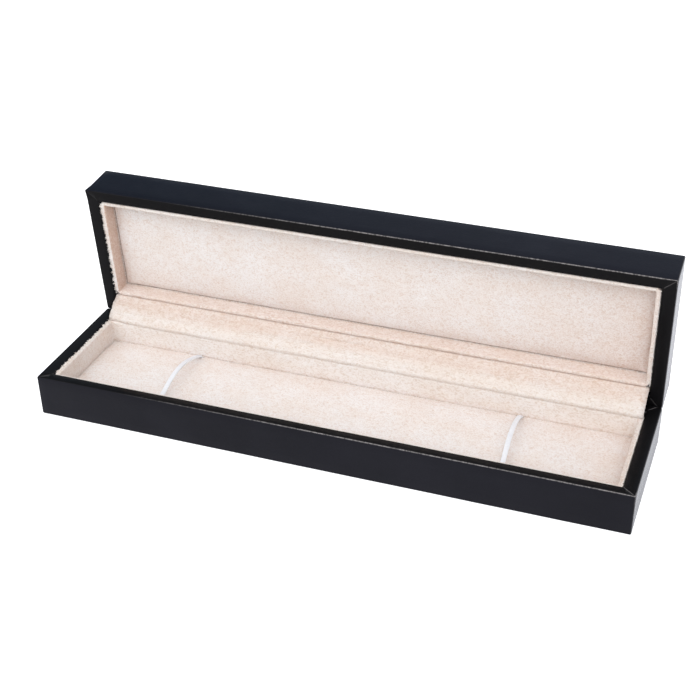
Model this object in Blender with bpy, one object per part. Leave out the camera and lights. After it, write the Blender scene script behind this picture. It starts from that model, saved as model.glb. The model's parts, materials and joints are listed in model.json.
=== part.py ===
"""A long, low leather jewelry box for a bracelet, standing open.

Two shallow halves of equal height share one hinge line along their backs. Each half is a mitred
wooden frame with a thin board in it, wrapped in leather that runs over the rim and is turned in,
and lined with suede-covered boards. The back outer edges of both halves are bevelled, so that the
bevels meet and stop the lid a little short of upright, and two small concealed hinges sit in the
back rims. A suede flap hides them from the inside. The lower half holds a suede pad with two
elastic straps, and the lid has a padded ceiling.

Lengths are in metres. X runs along the box, the front faces -Y, and the origin is the middle of
the underside. Both halves are described in one half frame: x, y and the height above the half's
own outer face, so that the rim is at HALF_HEIGHT in both. The lid is then turned over and opened.
"""
from dataclasses import dataclass
from math import atan2, cos, pi, radians, sin, sqrt

import bmesh
import bpy
from mathutils import Matrix, Vector

# Whole box
BOX_LENGTH = 0.2400
BOX_DEPTH = 0.0605
HALF_HEIGHT = 0.0177
CLOSING_GAP = 0.0003
STOP_GAP = 0.0003
OPEN_ANGLE = radians(85)

# Leather wrap
LEATHER = 0.0006
EDGE_ROUND = 0.0008
RIM_ROUND = 0.0004
TURN_IN = 0.0030
TURN_UNDER = 0.0050
SLIT_WIDTH = 0.0002

# Clearances
SEAT_GAP = 0.0002
SOFT_GAP = 0.0003
CUT_OVERRUN = 0.0010
MERGE_DISTANCE = 0.0000005

# Rim widths, from the outside to the lining
SIDE_RIM = 0.00545
BASE_FRONT_RIM = 0.00425
LID_FRONT_RIM = 0.00468
BACK_RIM = 0.0064
BACK_WALL = 0.0098

# Boards and linings
BOARD = 0.0025
LINING = 0.0017
BASE_FRONT_LINING = 0.0008
LINING_DROP = 0.0005
LINING_ROUND = 0.0005
LINING_CORNER_ROUND = 0.0014
HINGE_POCKET = 0.0070

# Hinges
HINGE_INSET = 0.0024
HINGE_END = 0.0450
HINGE_WIDTH = 0.0260
LEAF = 0.0008
LEAF_SINK = 0.0001
LEAF_DROP = 0.0064
LEAF_BEND = 0.0011
KNUCKLE_RADIUS = 0.0015
KNUCKLE_GAP = 0.0004
SWING_GAP = 0.0004
PIN_RADIUS = 0.0007
PIN_CLEARANCE = 0.00015

# Hinge screws
SCREW_SPACING = 0.0160
SCREW_DEPTH = 0.0042
SCREW_HEAD_RADIUS = 0.0014
SCREW_HEAD = 0.0006
SCREW_RADIUS = 0.0007
SCREW_LENGTH = 0.0040
SCREW_TIP = 0.0008

# Insert: foam slab, card and suede pad
INSERT_FOAM = 0.0024
INSERT_CARD = 0.0010
INSERT_PAD = 0.0010
INSERT_CROWN = 0.0005
FOAM_INSET = 0.0015
PAD_EDGE_ROUND = 0.0005

# Ceiling of the lid: foam slab, card and suede pad
CEILING_FOAM = 0.0029
CEILING_CARD = 0.0010
CEILING_PAD = 0.0029
CEILING_CROWN = 0.0006

# Elastic straps
STRAP_WIDTH = 0.0020
STRAP_THICKNESS = 0.0007
STRAP_RISE = 0.0044
STRAP_BEND = 0.0007
STRAP_TUCK = 0.0090
STRAP_LEFT_END = 0.0479
STRAP_LEFT_LEAN = 0.0000
STRAP_LEFT_BOW = 0.0011
STRAP_RIGHT_END = 0.0520
STRAP_RIGHT_LEAN = -0.0011
STRAP_RIGHT_BOW = 0.0004
NOTCH_DEPTH = 0.0012

# Hinge flap
FLAP_THICKNESS = 0.0006
FLAP_BEND = 0.0006
FLAP_TUCK = 0.0022
FLAP_WAVE = 0.0006
FLAP_NOSE = 0.0012
FLAP_DRAW = 0.0010

# Angle past which an edge looks sharp
SHARP_ANGLE = radians(35)

# Counts and exponents
ROUND_SEGMENTS = 3
BEND_STEPS = 4
KNUCKLE_SEGMENTS = 24
SCREW_SEGMENTS = 12
STRAP_STEPS = 28
STRAP_LAG_POWER = 1.25
PAD_CELLS_LONG = 20
PAD_CELLS_DEEP = 8
PAD_EDGE_STEPS = 2
PAD_CROWN_POWER = 4
FLAP_STATIONS = 20
FLAP_BEND_STEPS = 3
FLAP_WAVES = 3

# How far from its left end the flap is drawn back, as a share of its half length
FLAP_DRAW_SHARE = 0.12

# Places that follow from the sizes above
HALF_LENGTH = BOX_LENGTH / 2
FRONT_Y = -BOX_DEPTH / 2
BACK_Y = BOX_DEPTH / 2
AXIS_Y = BACK_Y - HINGE_INSET
AXIS_HEIGHT = HALF_HEIGHT + CLOSING_GAP / 2
SKIN = LEATHER + SEAT_GAP
BOARD_TOP = SKIN + BOARD
LINING_FOOT = BOARD_TOP + SEAT_GAP
LINING_TOP = HALF_HEIGHT - LINING_DROP
SIDE_LINING_OUTER = HALF_LENGTH - SIDE_RIM - SEAT_GAP
SIDE_LINING_FACE = SIDE_LINING_OUTER - LINING
BACK_LINING_OUTER = BACK_Y - BACK_WALL - SEAT_GAP
BACK_LINING_FACE = BACK_LINING_OUTER - LINING
LEAF_FACE = BACK_Y - BACK_RIM + LEATHER


@dataclass
class Half:
    """What sets one half of the box apart from the other."""

    name: str
    front_rim: float
    front_lining: float
    pivot: object = None

    @property
    def front_lining_face(self):
        return FRONT_Y + self.front_rim + SEAT_GAP + self.front_lining


@dataclass
class Look:
    """Colour, roughness and metallic value of a material."""

    colour: tuple
    roughness: float
    metallic: float = 0.0


@dataclass
class Strap:
    """An elastic strap; lean and bow shift it along X as it runs from the front to the back."""

    side: str
    x: float
    lean: float
    bow: float

    def x_at(self, run_share):
        return self.x + self.lean * run_share + self.bow * run_share ** 2


LEATHER_LOOK = Look((0.020, 0.021, 0.026), 0.38)
WOOD_LOOK = Look((0.50, 0.37, 0.24), 0.75)
SUEDE_LOOK = Look((0.80, 0.71, 0.61), 0.95)
ELASTIC_LOOK = Look((0.86, 0.87, 0.90), 0.80)
FOAM_LOOK = Look((0.78, 0.77, 0.72), 1.00)
CARD_LOOK = Look((0.45, 0.40, 0.33), 0.90)
FELT_LOOK = Look((0.03, 0.03, 0.03), 1.00)
STEEL_LOOK = Look((0.60, 0.61, 0.62), 0.35, 1.0)

STRAPS = (
    Strap("left", -HALF_LENGTH + STRAP_LEFT_END, STRAP_LEFT_LEAN, STRAP_LEFT_BOW),
    Strap("right", HALF_LENGTH - STRAP_RIGHT_END, STRAP_RIGHT_LEAN, STRAP_RIGHT_BOW),
)


# Scene and objects

def clear_scene():
    for thing in list(bpy.data.objects):
        bpy.data.objects.remove(thing, do_unlink=True)


def make_material(name, look):
    material = bpy.data.materials.new(name)
    material.use_nodes = True
    shader = material.node_tree.nodes["Principled BSDF"]
    shader.inputs["Base Color"].default_value = (*look.colour, 1.0)
    shader.inputs["Roughness"].default_value = look.roughness
    shader.inputs["Metallic"].default_value = look.metallic
    return material


def add_lid_pivot():
    """Empty on the hinge line that holds the lid and stands it open."""
    pivot = bpy.data.objects.new("lid_pivot", None)
    bpy.context.scene.collection.objects.link(pivot)
    pivot.location = (0, AXIS_Y, AXIS_HEIGHT)
    pivot.rotation_euler = (-OPEN_ANGLE, 0, 0)
    return pivot


def add_object(half, name, bm, look=None, smooth=False):
    """Make an object from a mesh in the half frame; a lid piece is turned over onto its pivot."""
    bmesh.ops.recalc_face_normals(bm, faces=bm.faces[:])
    if half.pivot:
        for vert in bm.verts:
            vert.co = (vert.co.x, vert.co.y - AXIS_Y, AXIS_HEIGHT - vert.co.z)
        bmesh.ops.reverse_faces(bm, faces=bm.faces[:])
    mesh = bpy.data.meshes.new(name)
    bm.to_mesh(mesh)
    bm.free()
    if look:
        mesh.materials.append(make_material(name, look))
    if smooth:
        mesh.shade_smooth()
        mesh.set_sharp_from_angle(angle=SHARP_ANGLE)
    thing = bpy.data.objects.new(name, mesh)
    thing.parent = half.pivot
    bpy.context.scene.collection.objects.link(thing)
    return thing


def add_cutter(half, name, bm):
    cutter = add_object(half, f"{half.name}_{name}", bm)
    cutter.hide_render = True
    cutter.display_type = "WIRE"
    return cutter


def boolean(thing, cutter, operation="DIFFERENCE"):
    modifier = thing.modifiers.new(cutter.name, "BOOLEAN")
    modifier.operation = operation
    modifier.solver = "EXACT"
    modifier.object = cutter


# Shapes in the half frame

def add_block(bm, low, high):
    middle = (Vector(low) + Vector(high)) / 2
    size = Vector(high) - Vector(low)
    matrix = Matrix.Translation(middle) @ Matrix.Diagonal((*size, 1))
    bmesh.ops.create_cube(bm, size=1, matrix=matrix)


def add_rod(bm, radius, low_x, high_x):
    """Add a round rod along the hinge line."""
    middle = Vector(((low_x + high_x) / 2, AXIS_Y, AXIS_HEIGHT))
    bmesh.ops.create_cone(
        bm, cap_ends=True, segments=KNUCKLE_SEGMENTS, radius1=radius, radius2=radius,
        depth=high_x - low_x, matrix=Matrix.Translation(middle) @ Matrix.Rotation(pi / 2, 4, "Y"),
    )


def add_loft(bm, rings):
    """Skin a row of rings that have the same number of points, and close both ends."""
    rows = [[bm.verts.new(point) for point in ring] for ring in rings]
    for row, after in zip(rows, rows[1:]):
        for index, vert in enumerate(row):
            following = (index + 1) % len(row)
            bm.faces.new((vert, row[following], after[following], after[index]))
    bm.faces.new(rows[0])
    bm.faces.new(rows[-1])


def add_prism(bm, outline, low_x, high_x):
    """Add a closed outline of (y, height) points, drawn out along X."""
    add_loft(bm, [[(x, y, height) for y, height in outline] for x in (low_x, high_x)])


def add_turned(bm, profile, start):
    """Turn a profile of (distance, radius) points about a line along Y through a start point."""
    verts = [bm.verts.new(start + Vector((0, distance, radius))) for distance, radius in profile]
    edges = [bm.edges.new(pair) for pair in zip(verts, verts[1:])]
    bmesh.ops.spin(
        bm, geom=verts + edges, cent=start, axis=(0, 1, 0), angle=2 * pi, steps=SCREW_SEGMENTS,
        use_merge=True,
    )


def cut_away(bm, point, normal):
    """Cut off what lies on the normal's side of a plane, and close the cut."""
    cut = bmesh.ops.bisect_plane(
        bm, geom=bm.verts[:] + bm.edges[:] + bm.faces[:], dist=MERGE_DISTANCE,
        plane_co=point, plane_no=normal, clear_outer=True,
    )
    edges = [item for item in cut["geom_cut"] if isinstance(item, bmesh.types.BMEdge)]
    bmesh.ops.edgeloop_fill(bm, edges=edges)


def cut_back_bevel(bm, depth):
    """Bevel the back edge towards the hinge line, a given depth inside the face of the bevel."""
    slope = OPEN_ANGLE / 2
    normal = Vector((0, sin(slope), cos(slope)))
    cut_away(bm, Vector((0, AXIS_Y, AXIS_HEIGHT)) - normal * (STOP_GAP / 2 + depth), normal)


def cut_mitre(bm, side_x, side_y, rim, is_long_rail):
    """Cut the end of a rail along the line from the outer to the inner corner of the rim."""
    normal = Vector((side_x * rim, -side_y * SIDE_RIM, 0)).normalized()
    if not is_long_rail:
        normal = -normal
    corner = Vector((side_x * HALF_LENGTH, side_y * BOX_DEPTH / 2, 0))
    cut_away(bm, corner - normal * SEAT_GAP / 2, normal)


def round_edges(bm, edges, radius):
    bmesh.ops.bevel(
        bm, geom=edges, offset=radius, segments=ROUND_SEGMENTS, profile=0.5, affect="EDGES",
        clamp_overlap=True,
    )


def rounded_path(corners, setback, steps=BEND_STEPS):
    """Round the inner corners of an open line of (y, height) points, from a setback before each."""
    corners = [Vector(corner) for corner in corners]
    path = [corners[0]]
    for before, corner, after in zip(corners, corners[1:], corners[2:]):
        start = corner + (before - corner).normalized() * setback
        end = corner + (after - corner).normalized() * setback
        for step in range(steps + 1):
            share = step / steps
            path.append(start.lerp(corner, share).lerp(corner.lerp(end, share), share))
    path.append(corners[-1])
    return path


def ribbon_outline(path, thickness):
    """Give an open line a thickness: the closed outline of the band that follows it."""
    upper, lower = [], []
    for index, point in enumerate(path):
        before = path[max(index - 1, 0)]
        after = path[min(index + 1, len(path) - 1)]
        along = (after - before).normalized()
        across = Vector((-along.y, along.x)) * thickness / 2
        upper.append(point + across)
        lower.append(point - across)
    return upper, lower


# Wooden frame

def long_rail(half, side_y, rim):
    """Front or back rail, with mitred ends; the back one is bevelled."""
    bm = bmesh.new()
    ends = sorted((side_y * (BOX_DEPTH / 2 - SKIN), side_y * (BOX_DEPTH / 2 - rim + SKIN)))
    low = (-HALF_LENGTH + SKIN, ends[0], SKIN)
    high = (HALF_LENGTH - SKIN, ends[1], HALF_HEIGHT - SKIN)
    add_block(bm, low, high)
    if side_y > 0:
        cut_back_bevel(bm, SKIN)
    for side_x in (-1, 1):
        cut_mitre(bm, side_x, side_y, rim, is_long_rail=True)
    side = "back" if side_y > 0 else "front"
    return add_object(half, f"{half.name}_{side}_rail", bm, WOOD_LOOK)


def side_rail(half, side_x):
    """Left or right rail, mitred against the front and back ones."""
    bm = bmesh.new()
    ends = sorted((side_x * (HALF_LENGTH - SKIN), side_x * (HALF_LENGTH - SIDE_RIM + SKIN)))
    add_block(bm, (ends[0], FRONT_Y + SKIN, SKIN), (ends[1], BACK_Y - SKIN, HALF_HEIGHT - SKIN))
    cut_back_bevel(bm, SKIN)
    cut_mitre(bm, side_x, -1, half.front_rim, is_long_rail=False)
    cut_mitre(bm, side_x, 1, BACK_RIM, is_long_rail=False)
    side = "right" if side_x > 0 else "left"
    return add_object(half, f"{half.name}_{side}_rail", bm, WOOD_LOOK)


def frame_board(half, name):
    """Board inside the rails: the floor of the base or the top of the lid."""
    bm = bmesh.new()
    low = (-HALF_LENGTH + SIDE_RIM - LEATHER, FRONT_Y + half.front_rim - LEATHER, SKIN)
    high = (HALF_LENGTH - SIDE_RIM + LEATHER, LEAF_FACE, BOARD_TOP)
    add_block(bm, low, high)
    return add_object(half, f"{half.name}_{name}", bm, WOOD_LOOK)


# Leather wrap

def leather_wrap(half, knuckle_room):
    """One sheet of leather round a half: outer faces, rim and the edge turned in."""
    bm = bmesh.new()
    add_block(bm, (-HALF_LENGTH, FRONT_Y, 0), (HALF_LENGTH, BACK_Y, HALF_HEIGHT))
    round_edges(bm, bm.edges[:], EDGE_ROUND)
    cut_back_bevel(bm, 0)
    wrap = add_object(half, f"{half.name}_leather", bm, LEATHER_LOOK, smooth=True)
    boolean(wrap, frame_space(half))
    boolean(wrap, mouth_cutter(half))
    boolean(wrap, slit_cutter(half))
    boolean(wrap, knuckle_room)
    boolean(wrap, leaf_window_cutter(half))
    return wrap


def frame_space(half):
    """The room that the wooden frame takes up inside the leather."""
    bm = bmesh.new()
    low = (-HALF_LENGTH + LEATHER, FRONT_Y + LEATHER, LEATHER)
    high = (HALF_LENGTH - LEATHER, BACK_Y - LEATHER, HALF_HEIGHT - LEATHER)
    add_block(bm, low, high)
    cut_back_bevel(bm, LEATHER)
    space = add_cutter(half, "frame_space", bm)
    bm = bmesh.new()
    low = (-HALF_LENGTH + SIDE_RIM - LEATHER, FRONT_Y + half.front_rim - LEATHER, HALF_HEIGHT - TURN_IN)
    high = (HALF_LENGTH - SIDE_RIM + LEATHER, LEAF_FACE, HALF_HEIGHT + CUT_OVERRUN)
    add_block(bm, low, high)
    boolean(space, add_cutter(half, "turned_in_edge", bm))
    return space


def mouth_cutter(half):
    """The opening inside the rim, flared at the top, where the leather bends over the rim."""
    stations = [(HALF_HEIGHT - TURN_IN - CUT_OVERRUN, 0)]
    for step in range(BEND_STEPS + 1):
        angle = pi / 2 * step / BEND_STEPS
        stations.append((HALF_HEIGHT - RIM_ROUND * (1 - sin(angle)), RIM_ROUND * (1 - cos(angle))))
    stations.append((HALF_HEIGHT + CUT_OVERRUN, RIM_ROUND))
    rings = []
    for height, flare in stations:
        side = HALF_LENGTH - SIDE_RIM + flare
        front = FRONT_Y + half.front_rim - flare
        back = BACK_Y - BACK_RIM + flare
        corners = ((-side, front), (side, front), (side, back), (-side, back))
        rings.append([(x, y, height) for x, y in corners])
    bm = bmesh.new()
    add_loft(bm, rings)
    return add_cutter(half, "mouth", bm)


def slit_cutter(half):
    """The four mitre slits, which run over the rim from the inner corners to the outer edge."""
    bm = bmesh.new()
    for side_x in (-1, 1):
        for side_y, rim, start_inset in ((-1, half.front_rim, 2 * LEATHER), (1, BACK_RIM, HINGE_INSET)):
            outer = Vector((side_x * HALF_LENGTH, side_y * BOX_DEPTH / 2, HALF_HEIGHT))
            across = Vector((-side_x * SIDE_RIM, -side_y * rim, 0))
            start = outer + across * (start_inset / rim)
            end = outer + across + across.normalized() * CUT_OVERRUN
            turn = Matrix.Rotation(atan2(across.y, across.x), 4, "Z")
            size = Matrix.Diagonal(((end - start).length, SLIT_WIDTH, 2 * (LEATHER + CUT_OVERRUN), 1))
            matrix = Matrix.Translation((start + end) / 2) @ turn @ size
            bmesh.ops.create_cube(bm, size=1, matrix=matrix)
    return add_cutter(half, "mitre_slits", bm)


def window_cutter(half):
    """The part of the underside that the turned-under leather leaves bare."""
    bm = bmesh.new()
    low = (-HALF_LENGTH + TURN_UNDER, FRONT_Y + TURN_UNDER, -CUT_OVERRUN)
    high = (HALF_LENGTH - TURN_UNDER, BACK_Y - TURN_UNDER, LEATHER + CUT_OVERRUN)
    add_block(bm, low, high)
    return add_cutter(half, "window", bm)


def bottom_sheet(half):
    """Felt sheet on the underside, inside the turned-under leather."""
    bm = bmesh.new()
    edge = TURN_UNDER + SEAT_GAP
    add_block(bm, (-HALF_LENGTH + edge, FRONT_Y + edge, 0), (HALF_LENGTH - edge, BACK_Y - edge, LEATHER))
    return add_object(half, f"{half.name}_bottom_sheet", bm, FELT_LOOK)


# Linings

def lining_board(half, side, low, high, round_corner=None):
    """Suede-covered board with a soft edge at the rim and, where given, a round outer corner."""
    bm = bmesh.new()
    add_block(bm, low, high)
    if round_corner:
        corner = Vector(round_corner)
        uprights = [
            edge for edge in bm.edges
            if all((vert.co.xy - corner).length < MERGE_DISTANCE for vert in edge.verts)
        ]
        round_edges(bm, uprights, LINING_CORNER_ROUND)
    top_edges = [
        edge for edge in bm.edges if all(vert.co.z > LINING_TOP - MERGE_DISTANCE for vert in edge.verts)
    ]
    thickness = min(high[0] - low[0], high[1] - low[1])
    round_edges(bm, top_edges, min(LINING_ROUND, thickness / 3))
    return add_object(half, f"{half.name}_{side}_lining", bm, SUEDE_LOOK, smooth=True)


def linings(half):
    """Four lining boards on the board of the half; the front and back ones stand between the others."""
    front = FRONT_Y + half.front_rim + SEAT_GAP
    for side_x, side in ((-1, "left"), (1, "right")):
        ends = sorted((side_x * SIDE_LINING_OUTER, side_x * SIDE_LINING_FACE))
        low = (ends[0], front, LINING_FOOT)
        high = (ends[1], BACK_LINING_OUTER, LINING_TOP)
        lining_board(half, side, low, high, (side_x * SIDE_LINING_OUTER, BACK_LINING_OUTER))
    span = SIDE_LINING_FACE - SEAT_GAP
    lining_board(
        half, "front", (-span, front, LINING_FOOT), (span, half.front_lining_face, LINING_TOP)
    )
    lining_board(
        half, "back", (-span, BACK_LINING_FACE, LINING_FOOT), (span, BACK_LINING_OUTER, LINING_TOP)
    )


def back_spacer(half):
    """Strip behind the back lining, below the pocket for the hinges and the folded flap."""
    bm = bmesh.new()
    low = (-SIDE_LINING_OUTER, BACK_LINING_OUTER + SEAT_GAP, LINING_FOOT)
    high = (SIDE_LINING_OUTER, BACK_Y - BACK_RIM - SEAT_GAP, HALF_HEIGHT - HINGE_POCKET)
    add_block(bm, low, high)
    return add_object(half, f"{half.name}_back_spacer", bm, WOOD_LOOK)


# Hinges

def hinge_places():
    """Sides and middles of the two hinges, each at its own distance from the end of the box."""
    return (("left", -HALF_LENGTH + HINGE_END), ("right", HALF_LENGTH - HINGE_END))


def knuckle_ranges(centre):
    """X ranges of the three knuckles of a hinge: left, middle and right."""
    width = (HINGE_WIDTH - 2 * KNUCKLE_GAP) / 3
    lows = [centre - HINGE_WIDTH / 2 + index * (width + KNUCKLE_GAP) for index in range(3)]
    return [(low, low + width) for low in lows]


def knuckle_room_cutter(half):
    """Round grooves along the hinge line that the knuckles turn in."""
    bm = bmesh.new()
    reach = HINGE_WIDTH / 2 + SWING_GAP
    for _, centre in hinge_places():
        add_rod(bm, KNUCKLE_RADIUS + SWING_GAP, centre - reach, centre + reach)
    return add_cutter(half, "knuckle_room", bm)


def leaf_recess_cutter(half):
    """Shallow recess for the leaves in the top of the back rail."""
    bm = bmesh.new()
    reach = HINGE_WIDTH / 2 + SWING_GAP
    floor = HALF_HEIGHT - LEAF_SINK - LEAF - SOFT_GAP
    for _, centre in hinge_places():
        low = (centre - reach, BACK_Y - BACK_RIM, floor)
        add_block(bm, low, (centre + reach, AXIS_Y, HALF_HEIGHT + CUT_OVERRUN))
    return add_cutter(half, "leaf_recess", bm)


def leaf_window_cutter(half):
    """The part of the rim's leather that is cut away over the leaves."""
    bm = bmesh.new()
    reach = HINGE_WIDTH / 2 + SWING_GAP
    for _, centre in hinge_places():
        low = (centre - reach, BACK_Y - BACK_RIM - CUT_OVERRUN, HALF_HEIGHT - TURN_IN - CUT_OVERRUN)
        add_block(bm, low, (centre + reach, AXIS_Y, HALF_HEIGHT + CUT_OVERRUN))
    return add_cutter(half, "leaf_window", bm)


def leaf_outline():
    """Section of a leaf: from the hinge line along the rim, then down the inner face of the rail."""
    top = HALF_HEIGHT - LEAF_SINK
    bend_centre = Vector((LEAF_FACE - LEAF + LEAF_BEND, top - LEAF_BEND))
    outline = [(AXIS_Y, top - LEAF), (AXIS_Y, top)]
    for step in range(BEND_STEPS + 1):
        angle = pi / 2 * (1 + step / BEND_STEPS)
        outline.append(bend_centre + Vector((cos(angle), sin(angle))) * LEAF_BEND)
    outline.append((LEAF_FACE - LEAF, top - LEAF_DROP))
    outline.append((LEAF_FACE, top - LEAF_DROP))
    outline.append((LEAF_FACE, top - LEAF))
    return outline


def hinge_leaf(half, side, centre, screw_holes):
    """Bent leaf with its knuckles: the two outer ones on the base, the middle one on the lid."""
    bm = bmesh.new()
    add_prism(bm, leaf_outline(), centre - HINGE_WIDTH / 2, centre + HINGE_WIDTH / 2)
    leaf = add_object(half, f"{half.name}_hinge_leaf_{side}", bm, STEEL_LOOK, smooth=True)
    left, middle, right = knuckle_ranges(centre)
    own, other = ((middle,), (left, right)) if half.pivot else ((left, right), (middle,))
    bm = bmesh.new()
    for low_x, high_x in other:
        reach = KNUCKLE_GAP + SEAT_GAP
        add_rod(bm, KNUCKLE_RADIUS + SWING_GAP, low_x - reach, high_x + reach)
    boolean(leaf, add_cutter(half, f"other_knuckles_{side}", bm))
    bm = bmesh.new()
    for low_x, high_x in own:
        add_rod(bm, KNUCKLE_RADIUS, low_x, high_x)
    boolean(leaf, add_cutter(half, f"own_knuckles_{side}", bm), "UNION")
    bm = bmesh.new()
    reach = HINGE_WIDTH / 2 + CUT_OVERRUN
    add_rod(bm, PIN_RADIUS + PIN_CLEARANCE, centre - reach, centre + reach)
    boolean(leaf, add_cutter(half, f"pin_bore_{side}", bm))
    boolean(leaf, screw_holes)
    return leaf


def hinge_pin(half, side, centre):
    bm = bmesh.new()
    add_rod(bm, PIN_RADIUS, centre - HINGE_WIDTH / 2, centre + HINGE_WIDTH / 2)
    return add_object(half, f"hinge_pin_{side}", bm, STEEL_LOOK, smooth=True)


def screw_places():
    """Middles of the screw heads' seats: two on the inner face of each leaf."""
    places = []
    for _, centre in hinge_places():
        for side_x in (-1, 1):
            x = centre + side_x * SCREW_SPACING / 2
            places.append(Vector((x, LEAF_FACE - LEAF, HALF_HEIGHT - SCREW_DEPTH)))
    return places


def hinge_screw(half, name, place):
    """Round-headed screw through a leaf into the back rail."""
    bm = bmesh.new()
    profile = (
        (-SEAT_GAP - SCREW_HEAD, 0),
        (-SEAT_GAP - SCREW_HEAD, SCREW_HEAD_RADIUS - SCREW_HEAD / 2),
        (-SEAT_GAP - SCREW_HEAD / 2, SCREW_HEAD_RADIUS),
        (-SEAT_GAP, SCREW_HEAD_RADIUS),
        (-SEAT_GAP, SCREW_RADIUS),
        (SCREW_LENGTH - SCREW_TIP, SCREW_RADIUS),
        (SCREW_LENGTH, 0),
    )
    add_turned(bm, profile, place)
    bmesh.ops.remove_doubles(bm, verts=bm.verts[:], dist=MERGE_DISTANCE)
    return add_object(half, name, bm, STEEL_LOOK, smooth=True)


def screw_hole_cutter(half):
    """Holes for the screws, through the leaves and into the back rail."""
    bm = bmesh.new()
    radius = SCREW_RADIUS + SEAT_GAP
    length = SCREW_LENGTH + SEAT_GAP + CUT_OVERRUN
    for place in screw_places():
        middle = place + Vector((0, length / 2 - CUT_OVERRUN, 0))
        bmesh.ops.create_cone(
            bm, cap_ends=True, segments=SCREW_SEGMENTS, radius1=radius, radius2=radius,
            depth=length, matrix=Matrix.Translation(middle) @ Matrix.Rotation(pi / 2, 4, "X"),
        )
    return add_cutter(half, "screw_holes", bm)


# Pads

def pad_stations(low, high, cells):
    """Places along one side of a pad, with extra ones where the edge is rounded."""
    steps = range(PAD_EDGE_STEPS)
    edge = [PAD_EDGE_ROUND * (1 - cos(pi / 2 * step / PAD_EDGE_STEPS)) for step in steps]
    width = high - low - 2 * PAD_EDGE_ROUND
    middle = [low + PAD_EDGE_ROUND + width * cell / cells for cell in range(cells + 1)]
    return [low + inset for inset in edge] + middle + [high - inset for inset in reversed(edge)]


def pad_top(x, y, low, high, crown):
    """Height of a pad's top, which is crowned and falls off in a round edge."""
    long_share = (2 * x - low.x - high.x) / (high.x - low.x)
    deep_share = (2 * y - low.y - high.y) / (high.y - low.y)
    inset = min(x - low.x, high.x - x, y - low.y, high.y - y)
    rest = max(PAD_EDGE_ROUND - inset, 0)
    fall = PAD_EDGE_ROUND - sqrt(max(PAD_EDGE_ROUND ** 2 - rest ** 2, 0))
    swell = (1 - long_share ** PAD_CROWN_POWER) * (1 - deep_share ** PAD_CROWN_POWER)
    return high.z - fall + crown * swell


def pad(half, name, low, high, crown):
    """Suede pad between two corners, its top swelling by the crown."""
    low, high = Vector(low), Vector(high)
    places_y = pad_stations(low.y, high.y, PAD_CELLS_DEEP)
    rings = []
    for x in pad_stations(low.x, high.x, PAD_CELLS_LONG):
        ring = [(x, low.y, low.z), (x, high.y, low.z)]
        ring += [(x, y, pad_top(x, y, low, high, crown)) for y in reversed(places_y)]
        rings.append(ring)
    bm = bmesh.new()
    add_loft(bm, rings)
    return add_object(half, name, bm, SUEDE_LOOK, smooth=True)


def slab(half, name, low, high, look):
    bm = bmesh.new()
    add_block(bm, low, high)
    return add_object(half, name, bm, look)


def padded_stack(half, name, foam, card, top, crown):
    """Foam slab, card and suede pad on the board of a half, between its linings."""
    span = SIDE_LINING_FACE - SOFT_GAP
    front = half.front_lining_face + SOFT_GAP
    back = BACK_LINING_FACE - SOFT_GAP
    foam_low = LINING_FOOT
    card_low = foam_low + foam + SEAT_GAP
    pad_low = card_low + card + SEAT_GAP
    low = (-span + FOAM_INSET, front + FOAM_INSET, foam_low)
    high = (span - FOAM_INSET, back - FOAM_INSET, foam_low + foam)
    foam_slab = slab(half, f"{name}_foam", low, high, FOAM_LOOK)
    card_slab = slab(
        half, f"{name}_card", (-span, front, card_low), (span, back, card_low + card), CARD_LOOK
    )
    pad_low_corner = (-span, front, pad_low)
    suede = pad(half, f"{name}_pad", pad_low_corner, (span, back, pad_low + top), crown)
    return foam_slab, card_slab, suede


# Straps

def strap_ends(half):
    """Y places where a strap passes down through the notches, front and back."""
    inset = NOTCH_DEPTH - SOFT_GAP - STRAP_THICKNESS / 2
    return half.front_lining_face + SOFT_GAP + inset, BACK_LINING_FACE - SOFT_GAP - inset


def strap_levels():
    """Heights of a strap's middle line: under the card, and where it leaves the pad."""
    card_low = LINING_FOOT + INSERT_FOAM + SEAT_GAP
    pad_edge = card_low + INSERT_CARD + SEAT_GAP + INSERT_PAD
    return card_low - SOFT_GAP - STRAP_THICKNESS / 2, pad_edge + SOFT_GAP + STRAP_THICKNESS / 2


def strap_path(half):
    """Line of a strap: tucked under the card, up a notch, over the pad and down again."""
    front, back = strap_ends(half)
    low, foot = strap_levels()
    arch = []
    for step in range(STRAP_STEPS + 1):
        share = step / STRAP_STEPS
        rise = STRAP_RISE * sin(pi * share ** STRAP_LAG_POWER)
        arch.append(Vector((front + (back - front) * share, foot + rise)))
    start = rounded_path([(front + STRAP_TUCK, low), (front, low), arch[0], arch[1]], STRAP_BEND)
    end = rounded_path([arch[-2], arch[-1], (back, low), (back - STRAP_TUCK, low)], STRAP_BEND)
    return start + arch[2:-2] + end


def elastic_strap(half, strap):
    """Flat elastic that follows the strap's path and shifts along X on the way."""
    front, back = strap_ends(half)
    upper, lower = ribbon_outline(strap_path(half), STRAP_THICKNESS)
    rings = []
    for above, below in zip(upper, lower):
        middle = (above + below) / 2
        run_share = (2 * middle.x - front - back) / (back - front)
        low_x = strap.x_at(run_share) - STRAP_WIDTH / 2
        high_x = low_x + STRAP_WIDTH
        rings.append([(low_x, *above), (high_x, *above), (high_x, *below), (low_x, *below)])
    bm = bmesh.new()
    add_loft(bm, rings)
    return add_object(half, f"strap_{strap.side}", bm, ELASTIC_LOOK, smooth=True)


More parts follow.
